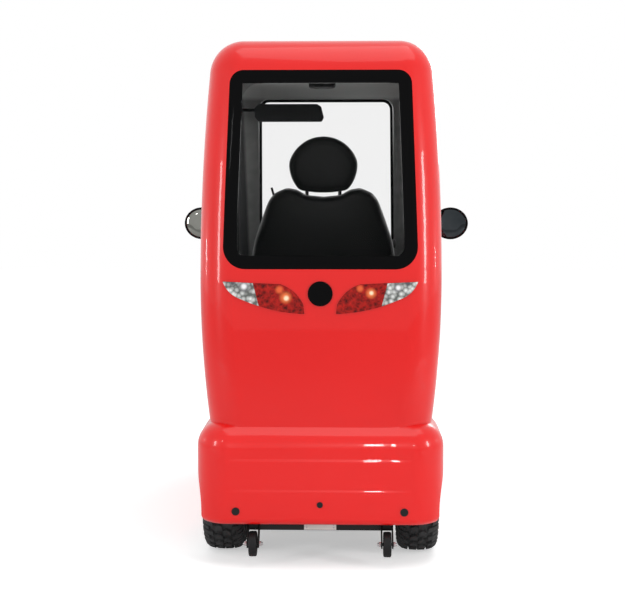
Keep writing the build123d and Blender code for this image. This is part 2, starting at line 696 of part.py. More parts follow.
# Knuckles: a barrel round the kingpin and a stub for the wheel
barrel = Pos(KINGPIN_X, FRONT_AXLE_Y, WHEEL_R) * Cylinder(BARREL_R, 2 * (YOKE_GAP - FIT))
barrel = barrel + rod_x((KINGPIN_X, FRONT_STUB_END_X), FRONT_AXLE_Y, WHEEL_R, AXLE_R)
kingpin_bore = Pos(KINGPIN_X, FRONT_AXLE_Y, WHEEL_R) * Cylinder(KINGPIN_R + RUNNING_FIT, 4 * YOKE_GAP)
parts["knuckle_right"] = barrel - kingpin_bore
parts["knuckle_left"] = mirror(parts["knuckle_right"], Plane.YZ)

# Wheels: a rim turned from one section and a tyre on it, about the X axis through the wheel's middle


def turned(outline):
    """A ring turned about the X axis from (x, radius) points."""
    return revolve(make_face(Polyline(*outline, close=True)), Axis.X)


def tyre():
    foot = ((BEAD_HALF - FIT, FLANGE_R), (BEAD_HALF - FIT, RIM_R + FIT))
    half = [(0, WHEEL_R), *TYRE_OUTLINE, *foot]
    return turned([*half, *[(-x, radius) for x, radius in half[:0:-1]]])


def rim():
    inner = RIM_R - RIM_WALL
    bore = AXLE_R + RUNNING_FIT
    edge = BEAD_HALF + FLANGE_T
    barrel_points = [
        (-edge, inner),
        (edge, inner),
        (edge, FLANGE_R),
        (BEAD_HALF, FLANGE_R),
        (BEAD_HALF, RIM_R),
        (-BEAD_HALF, RIM_R),
        (-BEAD_HALF, FLANGE_R),
        (-edge, FLANGE_R),
    ]
    disc = turned([(DISC_X[0], bore), (DISC_X[1], bore), (DISC_X[1], inner + 1), (DISC_X[0], inner + 1)])
    hub = turned([(HUB_X[0], bore), (HUB_X[1], bore), (HUB_X[1], HUB_R), (HUB_X[0], HUB_R)])
    return turned(barrel_points) + disc + hub


for name, y, x in (("rear", REAR_AXLE_Y, REAR_TRACK_HALF), ("front", FRONT_AXLE_Y, FRONT_TRACK_HALF)):
    for kind, shape in (("tyre", tyre()), ("rim", rim())):
        placed = Pos(x, y, WHEEL_R) * shape
        parts[f"{name}_{kind}_right"] = placed
        parts[f"{name}_{kind}_left"] = mirror(placed, Plane.YZ)

# Floor, bulkhead with the dash, deck with the rear wheel housings, front wheel housings
floor_low = rail_high_z + FIT
floor_high = floor_low + FLOOR_T
inside = body_form(WALL + FIT)
door_clear = body_form(WALL + DOOR_CLEAR)
foot_half = FLOOR_HALF - DOOR_CLEAR
floor_y = (DECK_FRONT_Y - RAIL / 2, BULKHEAD_Y + FLOOR_T)
parts["floor_pan"] = box((-FLOOR_HALF, FLOOR_HALF), floor_y, (floor_low, floor_high))
stand_z = floor_high + FIT
dash_end_y = screen_y(DASH_END_Z)
bulkhead = side_view(
    (
        (BULKHEAD_Y, stand_z),
        (BULKHEAD_Y, BULKHEAD_TOP_Z),
        (DASH_EDGE_Y, DASH_EDGE_Z),
        (dash_end_y, DASH_END_Z),
        (dash_end_y, DASH_END_Z - DASH_T),
        (DASH_EDGE_Y + DASH_T / 2, DASH_EDGE_Z - DASH_T),
        (BULKHEAD_Y + FLOOR_T, BULKHEAD_TOP_Z - DASH_T / 2),
        (BULKHEAD_Y + FLOOR_T, stand_z),
    )
)
low_part = bulkhead & box((-foot_half, foot_half), (0, WIDE), (0, DOOR_BOTTOM_Z + WALL))
high_part = bulkhead & door_clear & box((-WIDE, WIDE), (0, WIDE), (DOOR_BOTTOM_Z + WALL, ROOF_Z))
past_doors = box((-WIDE, WIDE), (DOOR_FRONT_Y + WALL, WIDE), (DOOR_BOTTOM_Z + WALL, ROOF_Z))
dash_front = bulkhead & inside & past_doors
parts["bulkhead_dash"] = low_part + high_part + dash_front

deck = box((-WIDE, WIDE), (-WIDE, DECK_FRONT_Y), (DECK_Z - FLOOR_T, DECK_Z)) & inside
deck_wall_y = (DECK_FRONT_Y - FLOOR_T, DECK_FRONT_Y)
deck_wall = box((-WIDE, WIDE), deck_wall_y, (DOOR_BOTTOM_Z, DECK_Z)) & door_clear
deck_foot = box((-foot_half, foot_half), deck_wall_y, (stand_z, DOOR_BOTTOM_Z))
beside_door = box((-WIDE, WIDE), (DOOR_REAR_Y - DOOR_REAR_GAP - FLOOR_T, WIDE), (0, ROOF_Z))
deck_front = beside_door & (deck - door_clear)
rear_deck = (deck - deck_front) + deck_wall + deck_foot
housing_x = BAND_X - BAND_WALL - FIT


def housing(y, arch_r, inner_x, high, y_range):
    """A wheel housing: a half drum over the wheel and an inner plate."""
    drum = rod_x((inner_x, housing_x), y, WHEEL_R, arch_r + HOUSING_T) - rod_x((0, WIDE), y, WHEEL_R, arch_r)
    drum = (drum & box((0, WIDE), (-WIDE, WIDE), (WHEEL_R, ROOF_Z))) & band_form(BAND_WALL + FIT)
    plate = box((inner_x, inner_x + HOUSING_T), y_range, (WHEEL_R + BEAM, high))
    return drum + plate


rear_reach = REAR_ARCH_R + HOUSING_T
rear_housing = housing(
    REAR_AXLE_Y,
    REAR_ARCH_R,
    REAR_HOUSING_X,
    DECK_Z - FLOOR_T / 2,
    (panel_y(SHELL_BOTTOM_Z) + WALL + 1, REAR_AXLE_Y + rear_reach),
)
parts["rear_deck"] = rear_deck + rear_housing + mirror(rear_housing, Plane.YZ)
front_reach = FRONT_ARCH_R + HOUSING_T
front_housing = housing(
    FRONT_AXLE_Y,
    FRONT_ARCH_R,
    FRONT_HOUSING_X,
    HOUSING_TOP_Z,
    (BULKHEAD_Y + FLOOR_T + FIT, NOSE_Y - WALL - 1),
)
parts["front_cowl"] = parts["front_cowl"] - rod_x((-WIDE, WIDE), FRONT_AXLE_Y, WHEEL_R, front_reach + FIT)
parts["front_housings"] = twins(front_housing)

# Seat on its pedestal over the battery
seat_base = box((-PEDESTAL_X, PEDESTAL_X), PEDESTAL_Y, (stand_z, SEAT_BASE_TOP_Z - FIT))
parts["seat_pedestal"] = seat_base - box(
    (-PEDESTAL_X + PEDESTAL_T, PEDESTAL_X - PEDESTAL_T),
    (PEDESTAL_Y[0] + PEDESTAL_T, PEDESTAL_Y[1] - PEDESTAL_T),
    (0, SEAT_BASE_TOP_Z - FIT - PEDESTAL_T),
)
parts["battery_block"] = box((-BATTERY_X, BATTERY_X), BATTERY_Y, (stand_z, stand_z + BATTERY_H))
cushion_top_z = SEAT_BASE_TOP_Z + SEAT_PAD
cushion = box((-SEAT_HALF, SEAT_HALF), (SEAT_REAR_Y + BACK_T / 2, SEAT_FRONT_Y), (SEAT_BASE_TOP_Z, cushion_top_z))
cushion = fillet(cushion.edges().filter_by(Axis.Z), SEAT_CORNER_R)
parts["seat_cushion"] = fillet(cushion.faces().sort_by(Axis.Z)[-1].edges(), SEAT_EDGE_R)

# The back's outline in its own plane: (half width, height) from the dip at the top to the foot
back_low_z = cushion_top_z + BACK_LIFT
back_points = (
    (0, BACK_TOP_Z - 31),
    (POST_X + 2, BACK_TOP_Z - 25),
    (92, BACK_TOP_Z - 5),
    (126, BACK_TOP_Z),
    (167, BACK_TOP_Z - 17),
    (189, BACK_TOP_Z - 42),
    (212, BACK_TOP_Z - 111),
    (238, BACK_TOP_Z - 180),
    (BACK_HALF, BACK_TOP_Z - 250),
    (SEAT_HALF, back_low_z),
)
outline = make_face(Polyline(*back_points, *[(-x, z) for x, z in back_points[:0:-1]], close=True))
outline = fillet(outline.vertices(), BACK_CORNER_R)
back = extrude(Plane.XZ * outline, amount=BACK_T / 2, both=True)
back = fillet([e for e in back.edges() if e.bounding_box().size.Y < 1], BACK_EDGE_R)


def recline(shape):
    """Leaned back about the foot of the seat's back."""
    return Pos(0, BACK_PIVOT_Y, back_low_z) * Rot(BACK_TILT, 0, 0) * Pos(0, 0, -back_low_z) * shape


parts["seat_back"] = recline(back)
back_drop = parts["seat_back"].bounding_box().min.Z - (cushion_top_z + FIT)
parts["seat_back"] = Pos(0, 0, -back_drop) * parts["seat_back"]
post_length = HEADREST_Z - BACK_TOP_Z + 2 * POST_SUNK
posts = twins(Pos(POST_X, 0, (BACK_TOP_Z + HEADREST_Z) / 2) * Cylinder(POST_R, post_length))
head_high = HEADREST_Z + HEADREST_H / 2
head_low = HEADREST_Z - HEADREST_H / 2
head_middle = HEADREST_Z + 8
head_cheek = (HEADREST_W / 2 - 7, HEADREST_Z - 40)
head_jaw = (HEADREST_W / 2 - 35, head_low + 9)
head_outline = Curve() + [
    ThreePointArc((-HEADREST_W / 2, head_middle), (0, head_high), (HEADREST_W / 2, head_middle)),
    ThreePointArc((HEADREST_W / 2, head_middle), head_cheek, head_jaw),
    ThreePointArc(head_jaw, (0, head_low), (-head_jaw[0], head_jaw[1])),
    ThreePointArc((-head_jaw[0], head_jaw[1]), (-head_cheek[0], head_cheek[1]), (-HEADREST_W / 2, head_middle)),
]
head_face = fillet(make_face(head_outline).vertices(), HEADREST_CORNER_R)
head = extrude(Plane.XZ * head_face, amount=HEADREST_T / 2, both=True)
head = fillet([e for e in head.edges() if e.bounding_box().size.Y < 1], HEADREST_EDGE_R)
head = Pos(0, 0, -back_drop) * recline(head)
posts = Pos(0, 0, -back_drop) * recline(posts)
parts["headrest"] = head
parts["headrest_posts"] = Compound(children=(posts - head - parts["seat_back"]).solids())


# Steering: a fixed column, and a tiller that turns in it
def on_column(shape):
    return Pos(0, STEER_FOOT_Y, floor_high) * Rot(STEER_TILT, 0, 0) * shape


column = Pos(0, 0, COLUMN_LENGTH / 2) * Cylinder(COLUMN_R, COLUMN_LENGTH + COLUMN_SUNK)
column = column - Pos(0, 0, COLUMN_LENGTH / 2 + STEM_START) * Cylinder(STEM_R + RUNNING_FIT, COLUMN_LENGTH)
column = on_column(column) & box((-WIDE, WIDE), (0, BULKHEAD_Y - FIT), (stand_z, ROOF_Z))
parts["steering_column"] = biggest(column)
stem = Pos(0, 0, (STEM_START + STEM_END) / 2) * Cylinder(STEM_R, STEM_END - STEM_START - 1)
console = fillet(Box(*CONSOLE).edges(), CONSOLE_R)
console = Pos(0, 0, HANDLE_AT - CONSOLE_DROP) * console
bar = rod_x((-HANDLE_HALF, HANDLE_HALF), 0, HANDLE_AT, HANDLE_R)
grip = rod_x((HANDLE_HALF - GRIP_LENGTH, HANDLE_HALF), 0, HANDLE_AT, GRIP_R)
grips = twins(grip - rod_x((0, WIDE), 0, HANDLE_AT, HANDLE_R))
parts["tiller"] = on_column(stem + console + bar)
parts["tiller_grips"] = on_column(grips)

# Anti-tip bar with a fork at each end, and its wheels
bar_front_y = -RAIL_END_Y - FIT
bar_rear_y = bar_front_y - BAR_T
fork_x = TIP_WHEEL_W / 2 + TIP_GAP
bar_half = TIP_X + fork_x + FORK_T
tip_bar = box((-bar_half, bar_half), (bar_rear_y, bar_front_y), (BAR_LOW_Z, BAR_HIGH_Z))
cheek = extrude(
    Plane.YZ
    * make_face(
        Polyline(
            (bar_front_y, BAR_HIGH_Z),
            (bar_front_y, BAR_LOW_Z),
            (TIP_Y + FORK_END, TIP_Z - FORK_END),
            (TIP_Y - FORK_END, TIP_Z - FORK_END),
            (TIP_Y - FORK_END, TIP_Z + FORK_END),
            (bar_rear_y, BAR_HIGH_Z),
            close=True,
        )
    ),
    amount=FORK_T,
)
for side in (1, -1):
    for at in (TIP_X - fork_x - FORK_T, TIP_X + fork_x):
        one = Pos(at, 0, 0) * cheek
        tip_bar = tip_bar + (one if side > 0 else mirror(one, Plane.YZ))
    pin_half = fork_x + FORK_T + TIP_PIN_PROUD
    pin = rod_x((TIP_X - pin_half, TIP_X + pin_half), TIP_Y, TIP_Z, TIP_AXLE_R)
    tip_bar = tip_bar + (pin if side > 0 else mirror(pin, Plane.YZ))
parts["anti_tip_bar"] = tip_bar
tip_wheel = rod_x((TIP_X - TIP_WHEEL_W / 2, TIP_X + TIP_WHEEL_W / 2), TIP_Y, TIP_Z, TIP_WHEEL_R)
tip_wheel = fillet([e for e in tip_wheel.edges() if e.geom_type == GeomType.CIRCLE], TIP_WHEEL_EDGE_R)
tip_wheel = tip_wheel - rod_x((0, WIDE), TIP_Y, TIP_Z, TIP_AXLE_R + RUNNING_FIT)
parts["tip_wheel_right"] = tip_wheel
parts["tip_wheel_left"] = mirror(tip_wheel, Plane.YZ)

# Small pieces: rear plate, bumper plugs, inside mirror and wiper
plate_z = (BAR_LOW_Z + 2, BAR_HIGH_Z - 2)
parts["rear_plate"] = box((-PLATE_HALF, PLATE_HALF), (bar_rear_y - PLATE_T, bar_rear_y), plate_z)
plugs = []
for x, z, r in PLUGS:
    stem = Pos(x, -HALF_LENGTH, z) * Rot(90, 0, 0) * Cylinder(r, PLUG_DEPTH)
    proud = (Pos(0, -PLUG_PROUD, 0) * stem) & (Pos(0, -PLUG_PROUD, 0) * band_outer)
    plugs.append(proud - band_outer)
parts["bumper_plugs"] = Compound(children=[biggest(p) for p in plugs])
inside_mirror = fillet(make_face(Polyline(*INSIDE_MIRROR_OUTLINE, close=True)).vertices(), INSIDE_MIRROR_R)
inside_mirror = extrude(Plane.XZ * inside_mirror, amount=INSIDE_MIRROR_T / 2, both=True)
inside_mirror = Pos(0, INSIDE_MIRROR_Y, 0) * inside_mirror
stub_x, stub_z, stub_r = INSIDE_MIRROR_STUB
stub = rod_x((-WIDE / 2, stub_x), INSIDE_MIRROR_Y, stub_z, stub_r) & inside
parts["inside_mirror"] = inside_mirror + stub
screen_plane = Plane(
    origin=(0, screen_y(BELT_Z), BELT_Z),
    x_dir=(-1, 0, 0),
    z_dir=(0, cos(radians(SCREEN_ANGLE)), sin(radians(SCREEN_ANGLE))),
)
wiper_arm = make_face(Polyline(*WIPER_ARM, close=True))
wiper_blade = make_face(Polyline(*WIPER_BLADE, close=True))
wiper = Pos(0, 0, WIPER_LIFT) * extrude(wiper_arm, amount=WIPER_T)
wiper = wiper + Pos(0, 0, 1) * extrude(wiper_blade, amount=WIPER_LIFT + WIPER_T - 3)
wiper = wiper + Pos(*WIPER_PIVOT, WIPER_T) * Cylinder(WIPER_PIVOT_R, 2 * (WIPER_T - FIT))
wiper = screen_plane * wiper
parts["wiper"] = biggest(wiper)

# Door hinges on the cowl: two ears and a pin at each height
pins = []
for z in HINGE_Z:
    gap_half = HINGE_LEAF / 2 + FIT
    lug_z = (z - gap_half - HINGE_EAR, z + gap_half + HINGE_EAR)
    hinge = Pos(HINGE_X, HINGE_Y, z) * Cylinder(HINGE_R, lug_z[1] - lug_z[0])
    hinge = hinge + box((side_x(z) - WALL / 2, HINGE_X + HINGE_R), (HINGE_Y, HINGE_Y + HINGE_LUG), lug_z)
    hinge = hinge - box((0, WIDE), (0, WIDE), (z - gap_half, z + gap_half))
    hinge = hinge + Pos(HINGE_X, HINGE_Y, z) * Cylinder(HINGE_PIN_R, HINGE_LEAF + 2 * HINGE_EAR)
    pins.append(hinge - outer)
    pin_bore = Pos(HINGE_X, HINGE_Y, z) * Cylinder(HINGE_PIN_R + RUNNING_FIT, 2 * HINGE_LEAF)
    parts["door_right"] = parts["door_right"] - pin_bore
parts["door_hinges"] = twins(Compound(children=pins))
parts["door_left"] = mirror(parts["door_right"], Plane.YZ)

os.makedirs("parts", exist_ok=True)
for name, shape in parts.items():
    export_step(shape, "parts/" + name + ".step")
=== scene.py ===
import json
import math

import bmesh
import bpy
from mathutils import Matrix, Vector
from mathutils.kdtree import KDTree

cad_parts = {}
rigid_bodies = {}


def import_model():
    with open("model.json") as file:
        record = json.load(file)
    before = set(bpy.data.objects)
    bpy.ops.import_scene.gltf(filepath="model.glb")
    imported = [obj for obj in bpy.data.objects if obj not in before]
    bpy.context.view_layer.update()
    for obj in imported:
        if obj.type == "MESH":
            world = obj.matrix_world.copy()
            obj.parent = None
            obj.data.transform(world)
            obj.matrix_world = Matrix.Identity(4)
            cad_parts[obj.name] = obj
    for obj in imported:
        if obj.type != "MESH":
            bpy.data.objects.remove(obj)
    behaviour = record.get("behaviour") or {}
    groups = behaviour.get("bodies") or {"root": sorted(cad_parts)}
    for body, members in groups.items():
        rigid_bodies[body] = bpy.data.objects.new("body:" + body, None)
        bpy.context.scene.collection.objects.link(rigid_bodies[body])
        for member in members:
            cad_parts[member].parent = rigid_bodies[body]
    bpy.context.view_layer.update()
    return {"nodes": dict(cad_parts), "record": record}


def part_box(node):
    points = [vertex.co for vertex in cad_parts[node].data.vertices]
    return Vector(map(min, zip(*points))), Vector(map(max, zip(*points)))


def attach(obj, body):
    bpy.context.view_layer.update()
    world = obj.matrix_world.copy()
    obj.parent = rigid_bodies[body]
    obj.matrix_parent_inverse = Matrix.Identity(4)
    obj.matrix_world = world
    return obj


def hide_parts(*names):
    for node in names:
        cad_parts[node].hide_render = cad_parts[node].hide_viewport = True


# Enclosed mobility scooter seen from behind, in metres. +Y is the way it drives, +Z up.

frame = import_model()
nodes = frame["nodes"]

# Camera: the photograph's place behind the scooter, a little to the right of its middle
CAMERA_AT = (0.0742, -4.566, 1.1257)
CAMERA_YAW = 0.0256
CAMERA_PITCH = 0.068
FOCAL_PX = 1272.9
SHIFT_PX = 20.0
PHOTO_W = 625.0


def build_camera():
    data = bpy.data.cameras.new("camera")
    data.sensor_width = 36.0
    data.lens = data.sensor_width * FOCAL_PX / PHOTO_W
    data.shift_y = -SHIFT_PX / PHOTO_W
    camera = bpy.data.objects.new("camera", data)
    camera.location = CAMERA_AT
    camera.rotation_euler = (math.pi / 2 - CAMERA_PITCH, 0.0, CAMERA_YAW)
    bpy.context.collection.objects.link(camera)
    bpy.context.scene.camera = camera


def new_object(name, mesh):
    obj = bpy.data.objects.new(name, mesh)
    bpy.context.collection.objects.link(obj)
    return obj


# Light: a pale room with soft boxes, and a floor that keeps the shadow
WORLD_LIGHT = 0.65
WHITE = (1.0, 1.0, 1.0, 1.0)


def build_world():
    world = bpy.data.worlds.new("room")
    bpy.context.scene.world = world
    world.use_nodes = True
    tree = world.node_tree
    tree.nodes.clear()
    out = tree.nodes.new("ShaderNodeOutputWorld")
    light = tree.nodes.new("ShaderNodeBackground")
    light.inputs["Color"].default_value = WHITE
    light.inputs["Strength"].default_value = WORLD_LIGHT
    seen = tree.nodes.new("ShaderNodeBackground")
    seen.inputs["Color"].default_value = WHITE
    seen.inputs["Strength"].default_value = 1.0
    path = tree.nodes.new("ShaderNodeLightPath")
    either = tree.nodes.new("ShaderNodeMath")
    either.operation = "MAXIMUM"
    any_of = tree.nodes.new("ShaderNodeMath")
    any_of.operation = "MAXIMUM"
    mix = tree.nodes.new("ShaderNodeMixShader")
    tree.links.new(path.outputs["Is Camera Ray"], either.inputs[0])
    tree.links.new(path.outputs["Is Transmission Ray"], either.inputs[1])
    tree.links.new(either.outputs[0], any_of.inputs[0])
    tree.links.new(path.outputs["Is Glossy Ray"], any_of.inputs[1])
    tree.links.new(any_of.outputs[0], mix.inputs["Fac"])
    tree.links.new(light.outputs[0], mix.inputs[1])
    tree.links.new(seen.outputs[0], mix.inputs[2])
    tree.links.new(mix.outputs[0], out.inputs["Surface"])


def soft_box(name, at, look_at, size, power):
    data = bpy.data.lights.new(name, "AREA")
    data.shape = "RECTANGLE"
    data.size, data.size_y = size
    data.energy = power
    lamp = bpy.data.objects.new(name, data)
    lamp.location = at
    direction = Vector(look_at) - Vector(at)
    lamp.rotation_euler = direction.to_track_quat("-Z", "Y").to_euler()
    bpy.context.collection.objects.link(lamp)


def build_lights():
    soft_box("overhead", (0.6, -1.0, 4.2), (0.0, 0.0, 0.6), (3.0, 3.0), 40.0)
    soft_box("behind_left", (-3.4, -3.2, 1.5), (0.0, -0.3, 0.8), (0.5, 1.3), 32.0)
    soft_box("behind_right", (3.6, -2.6, 1.5), (0.0, -0.3, 0.8), (0.5, 1.3), 44.0)
    soft_box("front_fill", (1.8, 4.0, 2.2), (0.0, 0.3, 0.9), (1.6, 1.6), 40.0)


# Columns: place, what it faces, size, power. Small strips, which only draw crisp lines on the gloss
STRIPS = (
    ((-3.0, 0.0, 0.95), (0.0, -0.6, 1.03), (0.05, 0.24), 3.0),
    ((3.0, 0.0, 0.95), (0.0, -0.6, 1.03), (0.05, 0.16), 2.0),
    ((-1.6, -4.0, 2.3), (-0.2, -0.8, 0.4), (0.06, 0.5), 3.0),
)


def build_strips():
    for k, (at, facing, size, power) in enumerate(STRIPS):
        soft_box(f"strip_{k + 1}", at, facing, size, power)


# Columns: place, what it faces, size, power. Strips that light the bumper alone, for the lines on its ledges
LEDGE_STRIPS = (((0.24, -4.4, 1.25), (0.15, -0.8, 0.4), (0.10, 0.36), 8.0),)


def build_ledge_strips(piece):
    lit = bpy.data.collections.new("lit_by_strips")
    lit.objects.link(piece)
    for k, (at, facing, size, power) in enumerate(LEDGE_STRIPS):
        soft_box(f"ledge_strip_{k + 1}", at, facing, size, power)
        bpy.data.objects[f"ledge_strip_{k + 1}"].light_linking.receiver_collection = lit


FLOOR_HALF = 14.0
FLOOR_GLOW = 0.45


def build_floor():
    mesh = bpy.data.meshes.new("floor")
    half = FLOOR_HALF
    corners = [(-half, -half, 0), (half, -half, 0), (half, half, 0), (-half, half, 0)]
    mesh.from_pydata(corners, [], [(0, 1, 2, 3)])
    floor = new_object("floor", mesh)
    material = bpy.data.materials.new("floor")
    material.use_nodes = True
    tree = material.node_tree
    tree.nodes.clear()
    out = tree.nodes.new("ShaderNodeOutputMaterial")
    matte = tree.nodes.new("ShaderNodeBsdfDiffuse")
    matte.inputs["Color"].default_value = (0.9, 0.9, 0.9, 1.0)
    glow = tree.nodes.new("ShaderNodeEmission")
    path = tree.nodes.new("ShaderNodeLightPath")
    scale = tree.nodes.new("ShaderNodeMath")
    scale.operation = "MULTIPLY"
    scale.inputs[1].default_value = FLOOR_GLOW
    add = tree.nodes.new("ShaderNodeAddShader")
    tree.links.new(path.outputs["Is Camera Ray"], scale.inputs[0])
    tree.links.new(scale.outputs[0], glow.inputs["Strength"])
    tree.links.new(matte.outputs[0], add.inputs[0])
    tree.links.new(glow.outputs[0], add.inputs[1])
    tree.links.new(add.outputs[0], out.inputs["Surface"])
    mesh.materials.append(material)


# Middle of the right headlamp, in x and z
HEADLAMP_AT = (0.235, 0.560)
REFLECTOR_RING = 0.0075


# Materials: every one is a principled surface with procedural detail
class Surface:
    """A principled material whose plain values sit on its own sockets."""

    def __init__(self, name, colour, roughness, **values):
        self.material = bpy.data.materials.new(name)
        self.material.use_nodes = True
        self.tree = self.material.node_tree
        self.shader = self.tree.nodes["Principled BSDF"]
        self.shader.inputs["Base Color"].default_value = (*colour, 1.0)
        self.shader.inputs["Roughness"].default_value = roughness
        for socket, value in values.items():
            self.shader.inputs[socket.replace("_", " ")].default_value = value
        self.material.diffuse_color = (*colour, values.get("Alpha", 1.0))

    def node(self, kind, **values):
        made = self.tree.nodes.new(kind)
        for socket, value in values.items():
            made.inputs[socket.replace("_", " ")].default_value = value
        return made

    def link(self, output, entry):
        self.tree.links.new(output, entry)

    def place(self):
        """Object coordinates, which are the row frame in metres on every CAD node."""
        return self.node("ShaderNodeTexCoord").outputs["Object"]

    def place_on_xz(self, mirrored=False):
        """The same place with no y, and with both sides alike where it is mirrored."""
        place = self.place()
        if mirrored:
            folded = self.node("ShaderNodeVectorMath")
            folded.operation = "ABSOLUTE"
            self.link(place, folded.inputs[0])
            place = folded.outputs["Vector"]
        level = self.node("ShaderNodeVectorMath")
        level.operation = "MULTIPLY"
        self.link(place, level.inputs[0])
        level.inputs[1].default_value = (1.0, 0.0, 1.0)
        return level.outputs["Vector"]

    def noise(self, scale, detail=3.0, roughness=0.5):
        made = self.node("ShaderNodeTexNoise", Scale=scale, Detail=detail, Roughness=roughness)
        self.link(self.place(), made.inputs["Vector"])
        return made.outputs["Fac"]

    def ramp(self, factor, low, high, start=0.3, end=0.7):
        made = self.node("ShaderNodeValToRGB")
        made.color_ramp.elements[0].position = start
        made.color_ramp.elements[0].color = (*low, 1.0)
        made.color_ramp.elements[1].position = end
        made.color_ramp.elements[1].color = (*high, 1.0)
        self.link(factor, made.inputs["Fac"])
        return made.outputs["Color"]

    def over(self, colour, share, tint):
        """A plain tint laid over a colour where the share is 1."""
        made = self.node("ShaderNodeMixRGB")
        self.link(share, made.inputs["Fac"])
        self.link(colour, made.inputs["Color1"])
        made.inputs["Color2"].default_value = (*tint, 1.0)
        return made.outputs["Color"]

    def vary_colour(self, scale, low, high, detail=3.0):
        self.link(self.ramp(self.noise(scale, detail), low, high), self.shader.inputs["Base Color"])

    def vary_roughness(self, scale, low, high):
        made = self.node("ShaderNodeMapRange")
        made.inputs["To Min"].default_value = low
        made.inputs["To Max"].default_value = high
        self.link(self.noise(scale), made.inputs["Value"])
        self.link(made.outputs["Result"], self.shader.inputs["Roughness"])

    def bump(self, height, distance, strength=1.0):
        made = self.node("ShaderNodeBump", Strength=strength, Distance=distance)
        self.link(height, made.inputs["Height"])
        self.link(made.outputs["Normal"], self.shader.inputs["Normal"])

    def grain(self, scale, distance, strength=1.0, detail=2.0):
        self.bump(self.noise(scale, detail), distance, strength)


def red_gloss():
    coat = {"Coat_Weight": 0.45, "Coat_Roughness": 0.03}
    s = Surface("red_gloss", (0.76, 0.004, 0.003), 0.30, Specular_IOR_Level=0.25, **coat)
    s.vary_colour(3.0, (0.74, 0.004, 0.003), (0.78, 0.005, 0.004))
    s.grain(14.0, 0.0012, 0.10, detail=0.0)
    return s.material


def black_gloss():
    s = Surface("black_gloss", (0.002, 0.002, 0.0023), 0.08, Specular_IOR_Level=0.05)
    s.vary_roughness(30.0, 0.06, 0.11)
    return s.material


def black_plastic():
    s = Surface("black_plastic", (0.010, 0.010, 0.011), 0.5, Specular_IOR_Level=0.22)
    s.vary_roughness(60.0, 0.42, 0.6)
    s.grain(1400.0, 0.0001, 0.3)
    return s.material


def lining_cloth():
    s = Surface("lining_cloth", (0.20, 0.215, 0.21), 0.9, Sheen_Weight=0.2)
    s.vary_colour(220.0, (0.17, 0.18, 0.18), (0.24, 0.255, 0.25))
    s.grain(900.0, 0.0006, 0.6)
    return s.material


def dark_lining():
    s = Surface("dark_lining", (0.009, 0.009, 0.010), 0.8, Specular_IOR_Level=0.12)
    s.vary_colour(160.0, (0.007, 0.007, 0.0075), (0.013, 0.013, 0.014))
    s.grain(700.0, 0.0005, 0.5)
    return s.material


# Columns: axis, where the zone begins and is full, colour
TRIM_ZONES = (
    ("X", 0.306, 0.318, (0.010, 0.010, 0.011)),
    ("Z", 1.476, 1.490, (0.42, 0.44, 0.43)),
)


def pillar_trim():
    """Grey on the pillars, dark next to the doors and pale along the header."""
    s = Surface("pillar_trim", (0.16, 0.165, 0.16), 0.6)
    colour = s.ramp(s.noise(30.0), (0.15, 0.155, 0.15), (0.20, 0.205, 0.20))
    place = s.node("ShaderNodeSeparateXYZ")
    s.link(s.place_on_xz(mirrored=True), place.inputs["Vector"])
    for axis, start, full, tint in TRIM_ZONES:
        share = s.node("ShaderNodeMapRange")
        share.inputs["From Min"].default_value = start
        share.inputs["From Max"].default_value = full
        s.link(place.outputs[axis], share.inputs["Value"])
        colour = s.over(colour, share.outputs["Result"], tint)
    s.link(colour, s.shader.inputs["Base Color"])
    s.grain(500.0, 0.0004, 0.5)
    return s.material


def floor_mat():
    s = Surface("floor_plastic", (0.05, 0.05, 0.05), 0.7)
    s.vary_colour(25.0, (0.035, 0.035, 0.035), (0.07, 0.07, 0.07))
    s.grain(500.0, 0.0006, 0.6)
    return s.material


def frame_paint():
    s = Surface("frame_paint", (0.010, 0.010, 0.010), 0.38, Specular_IOR_Level=0.25)
    s.vary_roughness(40.0, 0.28, 0.5)
    s.grain(350.0, 0.0003, 0.4)
    return s.material


def cast_grey():
    s = Surface("cast_grey", (0.10, 0.10, 0.105), 0.5, Metallic=0.6)
    s.vary_colour(18.0, (0.08, 0.08, 0.085), (0.14, 0.14, 0.145))
    s.grain(400.0, 0.0005, 0.6)
    return s.material


def steel():
    s = Surface("steel", (0.55, 0.55, 0.56), 0.3, Metallic=1.0)
    s.vary_roughness(80.0, 0.22, 0.42)
    return s.material


def alloy():
    s = Surface("alloy", (0.62, 0.62, 0.64), 0.35, Metallic=1.0)
    s.vary_roughness(35.0, 0.28, 0.45)
    s.grain(500.0, 0.0002, 0.4)
    return s.material


def tyre_rubber():
    s = Surface("tyre_rubber", (0.022, 0.022, 0.023), 0.75)
    s.vary_colour(20.0, (0.016, 0.016, 0.017), (0.036, 0.036, 0.037))
    s.grain(600.0, 0.0005, 0.6)
    return s.material


def grip_rubber():
    s = Surface("grip_rubber", (0.014, 0.014, 0.014), 0.8)
    s.vary_colour(60.0, (0.010, 0.010, 0.010), (0.022, 0.022, 0.022))
    s.grain(1200.0, 0.0005, 0.7)
    return s.material


def leather():
    s = Surface("black_leather", (0.005, 0.005, 0.0055), 0.42, Specular_IOR_Level=0.22)
    s.vary_colour(12.0, (0.006, 0.006, 0.0063), (0.012, 0.0118, 0.0118))
    s.vary_roughness(35.0, 0.36, 0.50)
    cells = s.node("ShaderNodeTexVoronoi", Scale=620.0)
    s.link(s.place(), cells.inputs["Vector"])
    s.bump(cells.outputs["Distance"], 0.00012, 0.25)
    return s.material


# A mirror glass whose tint is a painted reflection: a fixed tone, mottled at random between low and high
def mirror_pane(name, low, high):
    s = Surface(name, high, 0.04, Metallic=1.0)
    s.vary_colour(9.0, low, high)
    return s.material


# Painted pale reflection, for the left mirror glass
def mirror_painted_pale_reflection():
    return mirror_pane("mirror_painted_pale_reflection", (0.14, 0.15, 0.13), (0.24, 0.24, 0.22))
